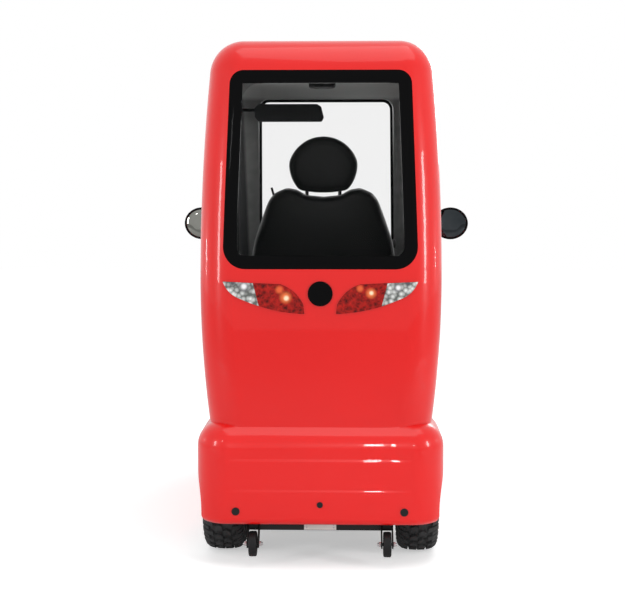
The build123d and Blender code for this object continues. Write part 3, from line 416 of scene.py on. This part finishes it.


# Painted dark reflection, for the right mirror glass
def mirror_painted_dark_reflection():
    return mirror_pane("mirror_painted_dark_reflection", (0.02, 0.025, 0.028), (0.05, 0.055, 0.06))


def dark_chrome():
    s = Surface("dark_chrome", (0.05, 0.05, 0.052), 0.15, Metallic=1.0)
    s.vary_roughness(60.0, 0.10, 0.2)
    return s.material


def chrome():
    s = Surface("chrome", (0.82, 0.83, 0.85), 0.08, Metallic=1.0)
    s.vary_roughness(60.0, 0.05, 0.12)
    return s.material


def pane():
    s = Surface("pane", (0.02, 0.024, 0.024), 0.02, Alpha=0.035, Specular_IOR_Level=0.5)
    s.vary_roughness(4.0, 0.01, 0.03)
    return s.material


def painted_reflection_spot(s, colour, spot, reach, tint):
    """A painted reflection in a lens: a blurred tint round a fixed point of the lamp."""
    apart = s.node("ShaderNodeVectorMath")
    apart.operation = "DISTANCE"
    s.link(s.place_on_xz(), apart.inputs[0])
    apart.inputs[1].default_value = spot
    share = s.node("ShaderNodeMapRange")
    share.interpolation_type = "SMOOTHSTEP"
    share.inputs["From Min"].default_value = reach
    share.inputs["From Max"].default_value = reach * 0.25
    s.link(apart.outputs["Value"], share.inputs["Value"])
    return s.over(colour, share.outputs["Result"], tint)


# Painted highlights on the red lenses. Columns: place on the lens, reach, colour
RED_PAINTED_HIGHLIGHTS = (
    ((-0.122, 0.0, 0.838), 0.016, (0.80, 0.13, 0.04)),
    ((-0.103, 0.0, 0.815), 0.023, (0.85, 0.20, 0.06)),
    ((-0.101, 0.0, 0.813), 0.011, (1.0, 0.82, 0.55)),
    ((0.119, 0.0, 0.842), 0.014, (0.80, 0.13, 0.04)),
    ((0.152, 0.0, 0.828), 0.020, (0.85, 0.20, 0.06)),
    ((0.153, 0.0, 0.829), 0.009, (1.0, 0.82, 0.55)),
)


def lamp_red():
    """A deep red lens with fine facets behind it, and painted warm highlights."""
    coat = {"Coat_Weight": 0.12, "Coat_Roughness": 0.02}
    s = Surface("lamp_red", (0.28, 0.004, 0.003), 0.12, Specular_IOR_Level=0.12, **coat)
    # The facet cells' darker and lighter reds stand for the facets and for painted glints in them
    cells = s.node("ShaderNodeTexVoronoi", Scale=88.0)
    cells.feature = "F2"
    s.link(s.place(), cells.inputs["Vector"])
    colour = s.ramp(cells.outputs["Distance"], (0.05, 0.0005, 0.0005), (0.46, 0.012, 0.008), 0.30, 1.0)
    for spot in RED_PAINTED_HIGHLIGHTS:
        colour = painted_reflection_spot(s, colour, *spot)
    s.link(colour, s.shader.inputs["Base Color"])
    s.bump(cells.outputs["Distance"], 0.0015, 0.4)
    return s.material


# Painted reflections on the clear lenses, bright cores in dark rings and dark spots. Columns: place on the
# lens, reach, colour
CLEAR_PAINTED_REFLECTIONS = (
    ((-0.228, 0.0, 0.848), 0.024, (0.16, 0.16, 0.17)),
    ((-0.228, 0.0, 0.848), 0.013, (0.92, 0.92, 0.94)),
    ((-0.262, 0.0, 0.858), 0.012, (0.10, 0.10, 0.11)),
    ((0.231, 0.0, 0.845), 0.020, (0.16, 0.16, 0.17)),
    ((0.233, 0.0, 0.845), 0.011, (0.92, 0.92, 0.94)),
    ((0.262, 0.0, 0.858), 0.012, (0.10, 0.10, 0.11)),
)


def lamp_clear():
    coat = {"Coat_Weight": 0.2, "Coat_Roughness": 0.02}
    s = Surface("lamp_clear", (0.5, 0.5, 0.5), 0.12, Specular_IOR_Level=0.2, **coat)
    # The facet cells' pale and dark tones stand for the facets and for painted reflection in them
    cells = s.node("ShaderNodeTexVoronoi", Scale=78.0)
    s.link(s.place(), cells.inputs["Vector"])
    colour = s.ramp(cells.outputs["Distance"], (0.80, 0.82, 0.80), (0.12, 0.13, 0.12), 0.15, 0.75)
    for spot in CLEAR_PAINTED_REFLECTIONS:
        colour = painted_reflection_spot(s, colour, *spot)
    s.link(colour, s.shader.inputs["Base Color"])
    s.bump(cells.outputs["Distance"], 0.002, 0.5)
    return s.material


def headlamp_lens():
    """Clear glass over a reflector ringed round the lamp's own axis."""
    s = Surface("headlamp_lens", (0.7, 0.7, 0.72), 0.08, Metallic=0.5, Coat_Weight=1.0, Coat_Roughness=0.02)
    apart = s.node("ShaderNodeVectorMath")
    apart.operation = "DISTANCE"
    s.link(s.place_on_xz(mirrored=True), apart.inputs[0])
    apart.inputs[1].default_value = (HEADLAMP_AT[0], 0.0, HEADLAMP_AT[1])
    rings = s.node("ShaderNodeMath")
    rings.operation = "PINGPONG"
    rings.inputs[1].default_value = REFLECTOR_RING
    s.link(apart.outputs["Value"], rings.inputs[0])
    share = s.node("ShaderNodeMapRange")
    share.inputs["From Max"].default_value = REFLECTOR_RING
    s.link(rings.outputs["Value"], share.inputs["Value"])
    colour = s.ramp(share.outputs["Result"], (0.30, 0.30, 0.32), (0.85, 0.85, 0.87), 0.1, 0.7)
    s.link(colour, s.shader.inputs["Base Color"])
    s.bump(share.outputs["Result"], 0.002, 0.5)
    return s.material


def plate_paint():
    s = Surface("plate_paint", (0.78, 0.76, 0.72), 0.4)
    s.vary_colour(30.0, (0.74, 0.72, 0.68), (0.82, 0.80, 0.76))
    return s.material


MATERIALS = {
    "body_red": red_gloss,
    "glass": pane,
    "black_gloss": black_gloss,
    "black_plastic": black_plastic,
    "grey_lining": lining_cloth,
    "grey_floor": floor_mat,
    "frame_black": frame_paint,
    "axle_metal": cast_grey,
    "steel": steel,
    "alloy": alloy,
    "tyre": tyre_rubber,
    "grip": grip_rubber,
    "seat": leather,
    "chrome": chrome,
    "lamp_red": lamp_red,
    "lamp_clear": lamp_clear,
    "plate": plate_paint,
    "headlamp_lens": headlamp_lens,
    "dark_lining": dark_lining,
    "dark_chrome": dark_chrome,
    "pillar_trim": pillar_trim,
    "mirror_painted_pale_reflection": mirror_painted_pale_reflection,
    "mirror_painted_dark_reflection": mirror_painted_dark_reflection,
}
made_materials = {}


def material(name):
    if name not in made_materials:
        made_materials[name] = MATERIALS[name]()
    return made_materials[name]


def paint_nodes():
    """Each CAD node takes the material of its slot in the record."""
    for part in frame["record"]["subparts"]:
        node = nodes[part["node"]]
        node.data.materials.clear()
        node.data.materials.append(material(part["material_slot"]))
    nodes["headlamps"].data.materials[0] = material("headlamp_lens")
    nodes["headrest_posts"].data.materials[0] = material("dark_chrome")


# Pieces made here
def millimetres(*values):
    return tuple(value / 1000 for value in values)


def finish_piece(name, bm, slot, body, smooth=True, paint=None):
    """A new object from a bmesh, riding on a body, with the finish of a slot or a paint of its own."""
    bmesh.ops.recalc_face_normals(bm, faces=bm.faces)
    mesh = bpy.data.meshes.new(name)
    bm.to_mesh(mesh)
    bm.free()
    mesh.polygons.foreach_set("use_smooth", [smooth] * len(mesh.polygons))
    piece = new_object(name, mesh)
    mesh.materials.append(material(paint or slot))
    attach(piece, body)
    return piece


def loft(bm, sections, closed=False):
    """Faces between rings of equal length; a ring is a list of points."""
    rings = [[bm.verts.new(point) for point in ring] for ring in sections]
    pairs = list(zip(rings, rings[1:] + rings[:1])) if closed else list(zip(rings, rings[1:]))
    for first, second in pairs:
        for i in range(len(first)):
            j = (i + 1) % len(first)
            bm.faces.new((first[i], first[j], second[j], second[i]))
    if not closed:
        bm.faces.new(rings[0])
        bm.faces.new(list(reversed(rings[-1])))
    return rings


ROUND_STEPS = 40


def rounded_outline(half, power, share):
    """A rounded oblong about its middle; a lower power gives squarer corners."""
    outline = []
    for k in range(ROUND_STEPS):
        angle = 2 * math.pi * k / ROUND_STEPS
        c, s = math.cos(angle), math.sin(angle)
        across = math.copysign(abs(c) ** power, c) * half[0] * share
        up = math.copysign(abs(s) ** power, s) * half[1] * share
        outline.append((across, up))
    return outline


def turned_about_x(bm, profile, middle, steps):
    """A closed ring about the X axis through a middle, from (x, radius) points."""
    sections = []
    for k in range(steps):
        angle = 2 * math.pi * k / steps
        ring = [
            (middle[0] + x, middle[1] + radius * math.cos(angle), middle[2] + radius * math.sin(angle))
            for x, radius in profile
        ]
        sections.append(ring)
    loft(bm, sections, closed=True)


# Tyres: a carcass with road blocks in rows; stations run from the crown to the side wall
TREAD_PITCHES = 27
TYRE_STEPS = 108
BLOCK_DRAFT = 0.05
BLOCK_SUNK = 1.0
# Columns: block x, block radius, carcass x, carcass radius, in millimetres
TREAD_STATIONS = (
    (0.0, 165.0, 0.0, 156.5),
    (36.0, 163.2, 35.0, 155.0),
    (54.0, 156.3, 50.0, 149.0),
    (62.3, 142.5, 57.5, 138.5),
    (64.6, 127.0, 62.5, 125.5),
)
# Columns: side, then for each section its station and the pitch fractions of its two edges
TREAD_BLOCKS = (
    (-1, ((0.06, 0.10, 0.56), (0.34, 0.00, 0.44), (0.66, 0.14, 0.60))),
    (1, ((0.06, 0.60, 1.06), (0.34, 0.50, 0.94), (0.66, 0.64, 1.10))),
    (-1, ((0.84, 0.72, 1.16), (1.6, 0.64, 1.06), (2.4, 0.58, 1.00), (3.2, 0.58, 0.96))),
    (-1, ((1.4, 0.18, 0.50), (2.4, 0.12, 0.46), (3.5, 0.10, 0.42))),
    (1, ((0.84, 0.22, 0.66), (1.6, 0.14, 0.56), (2.4, 0.08, 0.50), (3.2, 0.08, 0.46))),
    (1, ((1.4, 0.68, 1.00), (2.4, 0.62, 0.96), (3.5, 0.60, 0.92))),
)
CARCASS_LOW = ((61.0, 104.0), (53.0, 92.0), (47.7, 88.0), (47.7, 79.5))


def station(at):
    """The block's and the carcass's (x, radius) at a place between two stations."""
    low = min(int(at), len(TREAD_STATIONS) - 2)
    share = at - low
    values = [a + (b - a) * share for a, b in zip(TREAD_STATIONS[low], TREAD_STATIONS[low + 1])]
    return values[:2], values[2:]


def tyre_piece(node, body):
    low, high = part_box(node)
    middle = [(a + b) / 2 for a, b in zip(low, high)]
    half = [(row[2], row[3]) for row in TREAD_STATIONS] + list(CARCASS_LOW)
    outline = half + [(-x, radius) for x, radius in reversed(half[1:])]
    bm = bmesh.new()
    turned_about_x(bm, [millimetres(*point) for point in outline], middle, TYRE_STEPS)

    def at(x, radius, turn):
        angle = 2 * math.pi * turn / TREAD_PITCHES
        x, radius = x / 1000, radius / 1000
        return (middle[0] + x, middle[1] + radius * math.cos(angle), middle[2] + radius * math.sin(angle))

    for pitch in range(TREAD_PITCHES):
        for side, sections in TREAD_BLOCKS:
            rings = []
            for place, start, end in sections:
                (x, radius), (foot_x, foot_radius) = station(place)
                start, end = pitch + start, pitch + end
                rings.append(
                    [
                        at(side * foot_x, foot_radius - BLOCK_SUNK, start - BLOCK_DRAFT),
                        at(side * x, radius, start),
                        at(side * x, radius, end),
                        at(side * foot_x, foot_radius - BLOCK_SUNK, end + BLOCK_DRAFT),
                    ]
                )
            loft(bm, rings)
    piece = finish_piece("tread_" + node, bm, "tyre", body, smooth=False)
    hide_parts(node)


BAR_EDGE = 0.15


def round_bar(bm, start, end, radius, steps=16):
    """A plain round bar with flat ends between two points."""
    start, end = Vector(start), Vector(end)
    along = (end - start).normalized()
    across = along.orthogonal().normalized()
    other = along.cross(across)
    edge = along * radius * BAR_EDGE
    rings = []
    for point, share in ((start, 1 - BAR_EDGE), (start + edge, 1.0), (end - edge, 1.0), (end, 1 - BAR_EDGE)):
        ring = []
        for k in range(steps):
            angle = 2 * math.pi * k / steps
            ring.append(point + (across * math.cos(angle) + other * math.sin(angle)) * radius * share)
        rings.append(ring)
    loft(bm, rings)


NUT_RING_R = 0.046
NUT_R = 0.0095
NUT_H = 0.011
NUTS = 4
DISC_FACE = 0.016
CAP_FOOT = 0.026
CAP_FACE = 0.035
CAP_R = 0.019


def wheel_nuts(side, axle, body):
    """Nuts on the wheel's disc and a cap over the end of its axle."""
    low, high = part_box(f"{axle}_rim_{side}")
    sign = 1 if side == "right" else -1
    middle = Vector([(a + b) / 2 for a, b in zip(low, high)])
    bm = bmesh.new()
    for k in range(NUTS):
        angle = 2 * math.pi * (k + 0.5) / NUTS
        foot = middle + Vector((sign * DISC_FACE, NUT_RING_R * math.cos(angle), NUT_RING_R * math.sin(angle)))
        round_bar(bm, foot, foot + Vector((sign * NUT_H, 0, 0)), NUT_R, 6)
        round_bar(bm, foot, foot + Vector((sign * NUT_H * 1.5, 0, 0)), NUT_R * 0.5)
    foot, face = middle + Vector((sign * CAP_FOOT, 0, 0)), middle + Vector((sign * CAP_FACE, 0, 0))
    round_bar(bm, foot, face, CAP_R, 24)
    finish_piece(f"nuts_{axle}_{side}", bm, "steel", body, smooth=False)


# Mirror glasses in the door mirrors' recesses
MIRROR_GLASS = (0.0600, 0.0540)
MIRROR_STEPS = 48
MIRROR_IN = 0.0675
MIRROR_SUNK = 0.0022
# Columns: depth behind the glass's edge, share of the outline
MIRROR_RINGS = ((0.0006, 1.0), (0.0, 0.985), (-0.0008, 0.6), (-0.0011, 0.2))


def mirror_glass(side):
    low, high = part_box("door_mirror_" + side)
    outside = high[0] if side == "right" else low[0]
    sign = 1 if side == "right" else -1
    middle = Vector((outside - sign * MIRROR_IN, low[1] + MIRROR_SUNK, (low[2] + high[2]) / 2))
    bm = bmesh.new()
    rings = []
    for depth, share in MIRROR_RINGS:
        ring = []
        for k in range(MIRROR_STEPS):
            angle = 2 * math.pi * k / MIRROR_STEPS
            x = MIRROR_GLASS[0] * share * math.cos(angle)
            z = MIRROR_GLASS[1] * share * math.sin(angle)
            ring.append(middle + Vector((x, depth, z)))
        rings.append(ring)
    loft(bm, rings)
    # The glasses carry painted reflections: pale on the left, dark on the right
    paint = "mirror_painted_dark_reflection" if side == "right" else "mirror_painted_pale_reflection"
    finish_piece("mirror_glass_" + side, bm, "chrome", "door_" + side, paint=paint)


# Soft parts: the CAD solid's form, blown up a little between its seams
PAD_VOXEL = 0.006
PAD_SHRINK = 0.006
PAD_FRAMES = 20
PAD_CAP = 0.012
PAD_PRESSURE = 4.0
SEAM_HALF = 0.005
SEAM_DEPTH = 0.0028


def mesh_points(obj):
    graph = bpy.context.evaluated_depsgraph_get()
    shown = obj.evaluated_get(graph)
    mesh = shown.to_mesh()
    points = [vertex.co.copy() for vertex in mesh.vertices]
    shown.to_mesh_clear()
    return points


def apply_modifiers(obj):
    graph = bpy.context.evaluated_depsgraph_get()
    mesh = bpy.data.meshes.new_from_object(obj.evaluated_get(graph))
    obj.modifiers.clear()
    obj.data = mesh


def soft_pad(node, face, rim_inset, lines, shrink=PAD_SHRINK):
    """A padded piece in a CAD solid's place; face is the large faces' normal, lines give more seams."""
    piece = new_object("padded_" + node, nodes[node].data.copy())
    piece.data.materials.clear()
    piece.data.materials.append(material("seat"))
    remesh = piece.modifiers.new("remesh", "REMESH")
    remesh.mode = "VOXEL"
    remesh.voxel_size = PAD_VOXEL
    remesh.use_smooth_shade = True
    smooth = piece.modifiers.new("smooth", "SMOOTH")
    smooth.factor = 0.5
    smooth.iterations = 6
    apply_modifiers(piece)
    face = Vector(face)
    mesh = piece.data
    across = Vector((1, 0, 0))
    up = across.cross(face)
    start = [vertex.co - vertex.normal * shrink for vertex in mesh.vertices]
    turn = [vertex.normal.dot(face) for vertex in mesh.vertices]
    rim = [k for k, value in enumerate(turn) if abs(value) < 0.3]
    tree = KDTree(len(rim))
    for k in rim:
        tree.insert(Vector((start[k].dot(across), start[k].dot(up), 0)), k)
    tree.balance()
    centre = sum(start, Vector()) / len(start)
    weights = []
    for k, point in enumerate(start):
        flat = Vector((point.dot(across), point.dot(up), 0))
        local = (flat.x, (point - centre).dot(face), (point - centre).dot(up))
        gaps = [abs(tree.find(flat)[2] - rim_inset) if abs(turn[k]) > 0.6 else 1.0]
        gaps += [line(*local) for line in lines]
        weights.append(max(0.0, 1.0 - min(gaps) / SEAM_HALF))
    for vertex, point in zip(mesh.vertices, start):
        vertex.co = point
    blow_up(piece, weights)
    mesh.update()
    pairs = zip(mesh.vertices, weights)
    moved = [vertex.co - vertex.normal * SEAM_DEPTH * weight for vertex, weight in pairs]
    for vertex, point in zip(mesh.vertices, moved):
        vertex.co = point
    mesh.polygons.foreach_set("use_smooth", [True] * len(mesh.polygons))
    finer = piece.modifiers.new("finer", "SUBSURF")
    finer.levels = finer.render_levels = 1
    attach(piece, "chassis")
    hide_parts(node)


def blow_up(piece, weights):
    """Air pressure inside the cover, with the seams held."""
    mesh = piece.data
    group = piece.vertex_groups.new(name="seams")
    for k, weight in enumerate(weights):
        if weight > 0:
            group.add([k], weight, "REPLACE")
    cloth = piece.modifiers.new("cloth", "CLOTH")
    cloth.settings.quality = 4
    cloth.settings.use_pressure = True
    cloth.settings.uniform_pressure_force = PAD_PRESSURE
    cloth.settings.effector_weights.gravity = 0.0
    cloth.settings.vertex_group_mass = "seams"
    cloth.point_cache.frame_start = 1
    cloth.point_cache.frame_end = PAD_FRAMES
    scene = bpy.context.scene
    for frame_number in range(1, PAD_FRAMES + 1):
        scene.frame_set(frame_number)
    blown = mesh_points(piece)
    piece.modifiers.remove(cloth)
    for vertex, point in zip(mesh.vertices, blown):
        step = point - vertex.co
        if step.length > PAD_CAP:
            step = step.normalized() * PAD_CAP
        vertex.co = vertex.co + step
    scene.frame_set(1)


LEAN = math.radians(8.0)
BACK_FACE = (0.0, math.cos(LEAN), math.sin(LEAN))
BOLSTER_X = 0.135
INSERT_TOP = 0.12
INSERT_LOW = -0.17


def bolster_line(x, depth, height):
    """The front of the back has two upright seams."""
    return abs(abs(x) - BOLSTER_X) if depth > 0 and INSERT_LOW < height < INSERT_TOP else 1.0


def insert_line(x, depth, height):
    """Seams across the front of the back, between its upright ones."""
    if depth < 0 or abs(x) > BOLSTER_X:
        return 1.0
    return min(abs(height - level) for level in (INSERT_LOW, (INSERT_LOW + INSERT_TOP) / 2, INSERT_TOP))


def cushion_line(x, height, depth):
    """Two seams from front to back over the cushion."""
    return abs(abs(x) - BOLSTER_X) if height > 0 else 1.0


# Inner faces of the cab's panels
INSIDE_FACING = -0.35
SPINE_Y = (-0.45, 0.25)
SPINE_Z = (0.45, 1.30)
LINED_PANELS = ("rear_shell", "roof_panel", "windscreen_surround", "front_cowl", "door_right", "door_left")


def line_panels():
    """The cab's panels are lined: every face that doesn't look away from the cab's middle is dark."""
    for name in LINED_PANELS:
        mesh = nodes[name].data
        mesh.materials.append(material("pillar_trim" if name == "windscreen_surround" else "dark_lining"))
        for face in mesh.polygons:
            x, y, z = face.center
            spine = Vector((0.0, min(max(y, SPINE_Y[0]), SPINE_Y[1]), min(max(z, SPINE_Z[0]), SPINE_Z[1])))
            away = (Vector((x, y, z)) - spine).normalized()
            if face.normal.dot(away) < -INSIDE_FACING:
                face.material_index = 1


MIRROR_FACING = -0.9


def line_mirrors():
    """The door mirrors' faces round the glass are black."""
    for side in ("right", "left"):
        mesh = nodes["door_mirror_" + side].data
        mesh.materials.append(material("black_gloss"))
        for face in mesh.polygons:
            if face.normal.y < MIRROR_FACING:
                face.material_index = 1


# Black border inside the windscreen's edge
BORDER_W = 0.011
BORDER_T = 0.0012
BORDER_GAP = 0.003
BORDER_FIT = 0.0005
SCREEN_TURN = math.radians(24.0)
# Columns: half width and height of the opening's corners, low and high
SCREEN_CORNERS = ((0.270, 0.905), (0.256, 1.483))
SCREEN_CORNER_R = 0.040
ARC_STEPS = 8


def rounded_corners(low, high, radius, inset):
    """The outline of a windscreen opening, in x and z, moved in by a border."""
    (low_x, low_z), (high_x, high_z) = low, high
    centres = (
        (low_x - radius, low_z + radius, -90),
        (high_x - radius, high_z - radius, 0),
        (radius - high_x, high_z - radius, 90),
        (radius - low_x, low_z + radius, 180),
    )
    outline = []
    for x, z, start in centres:
        for k in range(ARC_STEPS + 1):
            angle = math.radians(start + 90 * k / ARC_STEPS)
            reach = radius - inset
            outline.append((x + reach * math.cos(angle), z + reach * math.sin(angle)))
    return outline


def screen_border():
    low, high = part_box("windscreen_glass")

    def behind(x, z, depth):
        return (x, low[1] + (high[2] - z) * math.tan(SCREEN_TURN) - depth, z)

    bm = bmesh.new()
    rings = []
    near, far = BORDER_GAP, BORDER_GAP + BORDER_T
    for inset, depth in ((0.0, near), (BORDER_W, near), (BORDER_W, far), (0.0, far)):
        outline = rounded_corners(*SCREEN_CORNERS, SCREEN_CORNER_R, inset + BORDER_FIT)
        rings.append([behind(x, z, depth) for x, z in outline])
    loft(bm, rings, closed=True)
    finish_piece("screen_border", bm, "black_gloss", "chassis", smooth=False)


# Small parts
def hex_nut(bm, foot, along, radius, height):
    foot, along = Vector(foot), Vector(along)
    round_bar(bm, foot, foot + along * height, radius, 6)
    round_bar(bm, foot + along * height * 0.8, foot + along * height * 1.5, radius * 0.55, 12)


TIP_NUT_OUT = 0.0065
TIP_NUT_R = 0.0085
TIP_NUT_H = 0.0075


def tip_wheel_nuts():
    """A nut at each outer face of the small wheels' forks."""
    bm = bmesh.new()
    for side in ("right", "left"):
        low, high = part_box("tip_wheel_" + side)
        y, z = (low[1] + high[1]) / 2, (low[2] + high[2]) / 2
        for x, way in ((low[0] - TIP_NUT_OUT, -1), (high[0] + TIP_NUT_OUT, 1)):
            hex_nut(bm, (x, y, z), (way, 0, 0), TIP_NUT_R, TIP_NUT_H)
    finish_piece("tip_wheel_nuts", bm, "steel", "chassis", smooth=False)


SCREW_IN = (0.008, 0.007)
SCREW_SUNK = 0.0003
SCREW_PROUD = 0.0016
SCREW_R = 0.0028


def plate_screws():
    low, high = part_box("rear_plate")
    bm = bmesh.new()
    for x in (low[0] + SCREW_IN[0], high[0] - SCREW_IN[0]):
        for z in (low[2] + SCREW_IN[1], high[2] - SCREW_IN[1]):
            round_bar(bm, (x, low[1] + SCREW_SUNK, z), (x, low[1] - SCREW_PROUD, z), SCREW_R, 12)
    finish_piece("plate_screws", bm, "steel", "chassis", smooth=False)


# Columns: y in front of the ring's foot, radius
BEZEL_PROFILE = ((0.0, 0.0655), (0.004, 0.0640), (0.006, 0.0600), (0.004, 0.0560), (0.0, 0.0550))
BEZEL_BACK = 0.006
BEZEL_STEPS = 48


def headlamp_bezels():
    """A bright ring round each headlamp."""
    bm = bmesh.new()
    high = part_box("headlamps")[1]
    for sign in (-1, 1):
        middle = (sign * HEADLAMP_AT[0], high[1] - BEZEL_BACK, HEADLAMP_AT[1])
        sections = []
        for k in range(BEZEL_STEPS):
            angle = 2 * math.pi * k / BEZEL_STEPS
            c, s = math.cos(angle), math.sin(angle)
            ring = [(middle[0] + r * c, middle[1] + y, middle[2] + r * s) for y, r in BEZEL_PROFILE]
            sections.append(ring)
        loft(bm, sections, closed=True)
    finish_piece("headlamp_bezels", bm, "chrome", "chassis")


# Rear bumper: the solid's form with shallow ledges pressed into its skin
# Columns: height of a ledge's middle, depth of the skin above it
LEDGES = ((0.238, 0.0020), (0.330, 0.0022), (0.408, 0.0024))
LEDGE_HALF = 0.006
LEDGE_STEPS = 4
LEDGE_END_X = (0.230, 0.300)
LEDGE_TOP_Z = (0.416, 0.436)
BUMPER_CUT_X = 0.030
CUT_FACING = -0.2
LEDGE_FACING = -0.3
SHARP_ANGLE = math.radians(35.0)


def smooth_share(value, low, high):
    share = min(max((value - low) / (high - low), 0.0), 1.0)
    return share * share * (3 - 2 * share)


def bumper_piece():
    bm = bmesh.new()
    bm.from_mesh(nodes["rear_bumper"].data)
    bmesh.ops.remove_doubles(bm, verts=bm.verts, dist=0.00002)
    cuts = []
    for middle, _ in LEDGES:
        for k in range(-LEDGE_STEPS, LEDGE_STEPS + 1):
            cuts.append(((0, 0, middle + LEDGE_HALF * k / LEDGE_STEPS), (0, 0, 1)))
    count = int(LEDGE_END_X[1] / BUMPER_CUT_X) + 1
    for k in range(-count, count + 1):
        cuts.append(((BUMPER_CUT_X * k, 0, 0), (1, 0, 0)))
    for place, normal in cuts:
        rear = [face for face in bm.faces if face.normal.y < CUT_FACING]
        edges = list({edge for face in rear for edge in face.edges})
        verts = list({vert for face in rear for vert in face.verts})
        bmesh.ops.bisect_plane(bm, geom=verts + edges + rear, plane_co=place, plane_no=normal)
    bm.normal_update()
    for vert in bm.verts:
        if vert.normal.y < LEDGE_FACING:
            fade = 1.0 - smooth_share(abs(vert.co.x), *LEDGE_END_X)
            depth = 0.0
            for at, drop in LEDGES:
                depth += drop * smooth_share(vert.co.z, at - LEDGE_HALF, at + LEDGE_HALF)
            over = 1.0 - smooth_share(vert.co.z, LEDGE_TOP_Z[0], LEDGE_TOP_Z[1])
            vert.co.y += depth * fade * over
    piece = finish_piece("rear_bumper_skin", bm, "body_red", "chassis")
    piece.data.set_sharp_from_angle(angle=SHARP_ANGLE)
    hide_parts("rear_bumper")
    build_ledge_strips(piece)


# Door handles: a paddle in a shallow black cup, and a lock below it
HANDLE_PLACE = (-0.188, 0.815)
HANDLE_HALF = (0.062, 0.019)
CUP_HALF = (0.070, 0.027)
# Half width of the doors' skin at the handles' height
SIDE_X = 0.3695
# Columns: height over the skin, share of the outline
CUP_RINGS = ((-0.002, 1.0), (0.0015, 1.0), (0.0022, 0.97))
PADDLE_RINGS = ((0.0022, 0.94), (0.0045, 1.0), (0.0075, 0.97), (0.009, 0.85))
LOCK_DROP = 0.042
LOCK_R = 0.0085
LOCK_SUNK = 0.002
LOCK_PROUD = 0.003


def rounded_plate(bm, middle, half, rings, sign):
    """A plate on a body side: rings are (height over the skin, share of the outline)."""
    sections = []
    for height, share in rings:
        outline = rounded_outline(half, 0.5, share)
        sections.append([(middle[0] + sign * height, middle[1] + y, middle[2] + z) for y, z in outline])
    loft(bm, sections)


def door_handle(side):
    sign = 1 if side == "right" else -1
    skin = sign * SIDE_X
    body = "door_" + side
    place = (skin, *HANDLE_PLACE)
    bm = bmesh.new()
    rounded_plate(bm, place, CUP_HALF, CUP_RINGS, sign)
    finish_piece("handle_cup_" + side, bm, "black_plastic", body)
    bm = bmesh.new()
    rounded_plate(bm, place, HANDLE_HALF, PADDLE_RINGS, sign)
    finish_piece("handle_paddle_" + side, bm, "black_gloss", body)
    bm = bmesh.new()
    y, z = HANDLE_PLACE[0], HANDLE_PLACE[1] - LOCK_DROP
    round_bar(bm, (skin - sign * LOCK_SUNK, y, z), (skin + sign * LOCK_PROUD, y, z), LOCK_R, 24)
    finish_piece("handle_lock_" + side, bm, "steel", body)


# Tiller: a screen, two knobs and a lever for each hand, in the column's own directions
COLUMN_FOOT = (0.300, 0.1463)
COLUMN_TURN = math.radians(8.0)
SCREEN_HALF = (0.042, 0.018)
SCREEN_HEIGHT = 0.803
# Columns: place along the column's own y, share of the outline
SCREEN_RINGS = ((-0.0295, 1.0), (-0.0320, 1.0), (-0.0330, 0.95))
KNOB_X = 0.055
KNOB_Y = (-0.029, -0.041)
KNOB_HEIGHT = 0.775
KNOB_R = 0.009
# A lever's three points on the right, in the column's own directions
LEVER_POINTS = ((0.074, 0.012, 0.800), (0.125, 0.034, 0.806), (0.228, 0.030, 0.800))
LEVER_R = 0.0045


def on_column(x, y, height):
    c, s = math.cos(COLUMN_TURN), math.sin(COLUMN_TURN)
    return Vector((x, COLUMN_FOOT[0] + y * c - height * s, COLUMN_FOOT[1] + y * s + height * c))


def tiller_details():
    bm = bmesh.new()
    sections = []
    for y, share in SCREEN_RINGS:
        outline = rounded_outline(SCREEN_HALF, 0.4, share)
        sections.append([on_column(x, y, SCREEN_HEIGHT + height) for x, height in outline])
    loft(bm, sections)
    finish_piece("tiller_screen", bm, "black_gloss", "tiller")
    bm = bmesh.new()
    for x in (-KNOB_X, KNOB_X):
        ends = [on_column(x, y, KNOB_HEIGHT) for y in KNOB_Y]
        round_bar(bm, *ends, KNOB_R, 20)
    finish_piece("tiller_knobs", bm, "grip", "tiller")
    bm = bmesh.new()
    for sign in (-1, 1):
        points = [on_column(sign * x, y, height) for x, y, height in LEVER_POINTS]
        for start, end in zip(points, points[1:]):
            round_bar(bm, start, end, LEVER_R)
    finish_piece("tiller_levers", bm, "steel", "tiller")


# Lamp in the headliner
LAMP_AT = (-0.012, 0.205, 1.5355)
LAMP_HALF = (0.050, 0.026)
LAMP_SLOPE = 0.10
# Columns: drop under the headliner, share of the outline
LAMP_RINGS = ((0.0, 1.0), (0.013, 1.0), (0.018, 0.92), (0.020, 0.7))


def roof_lamp():
    bm = bmesh.new()
    sections = []
    for drop, share in LAMP_RINGS:
        outline = rounded_outline(LAMP_HALF, 0.6, share)
        top = LAMP_AT[2] - drop
        sections.append([(LAMP_AT[0] + x, LAMP_AT[1] + y, top - LAMP_SLOPE * y) for x, y in outline])
    loft(bm, sections)
    finish_piece("roof_lamp", bm, "black_plastic", "chassis")


build_camera()
build_world()
build_lights()
build_strips()
build_floor()
paint_nodes()
line_panels()
line_mirrors()
for axle in ("rear", "front"):
    for side in ("right", "left"):
        tyre_piece(f"{axle}_tyre_{side}", f"wheel_{axle}_{side}")
        wheel_nuts(side, axle, f"wheel_{axle}_{side}")
for side in ("right", "left"):
    mirror_glass(side)
soft_pad("seat_cushion", (0.0, 0.0, 1.0), rim_inset=0.020, lines=(cushion_line,))
soft_pad("seat_back", BACK_FACE, rim_inset=0.016, lines=(bolster_line, insert_line), shrink=0.003)
soft_pad("headrest", BACK_FACE, rim_inset=0.015, lines=(), shrink=0.001)
screen_border()
tip_wheel_nuts()
plate_screws()
headlamp_bezels()
roof_lamp()
bumper_piece()
for side in ("right", "left"):
    door_handle(side)
tiller_details()

bpy.context.scene.view_settings.view_transform = "Standard"
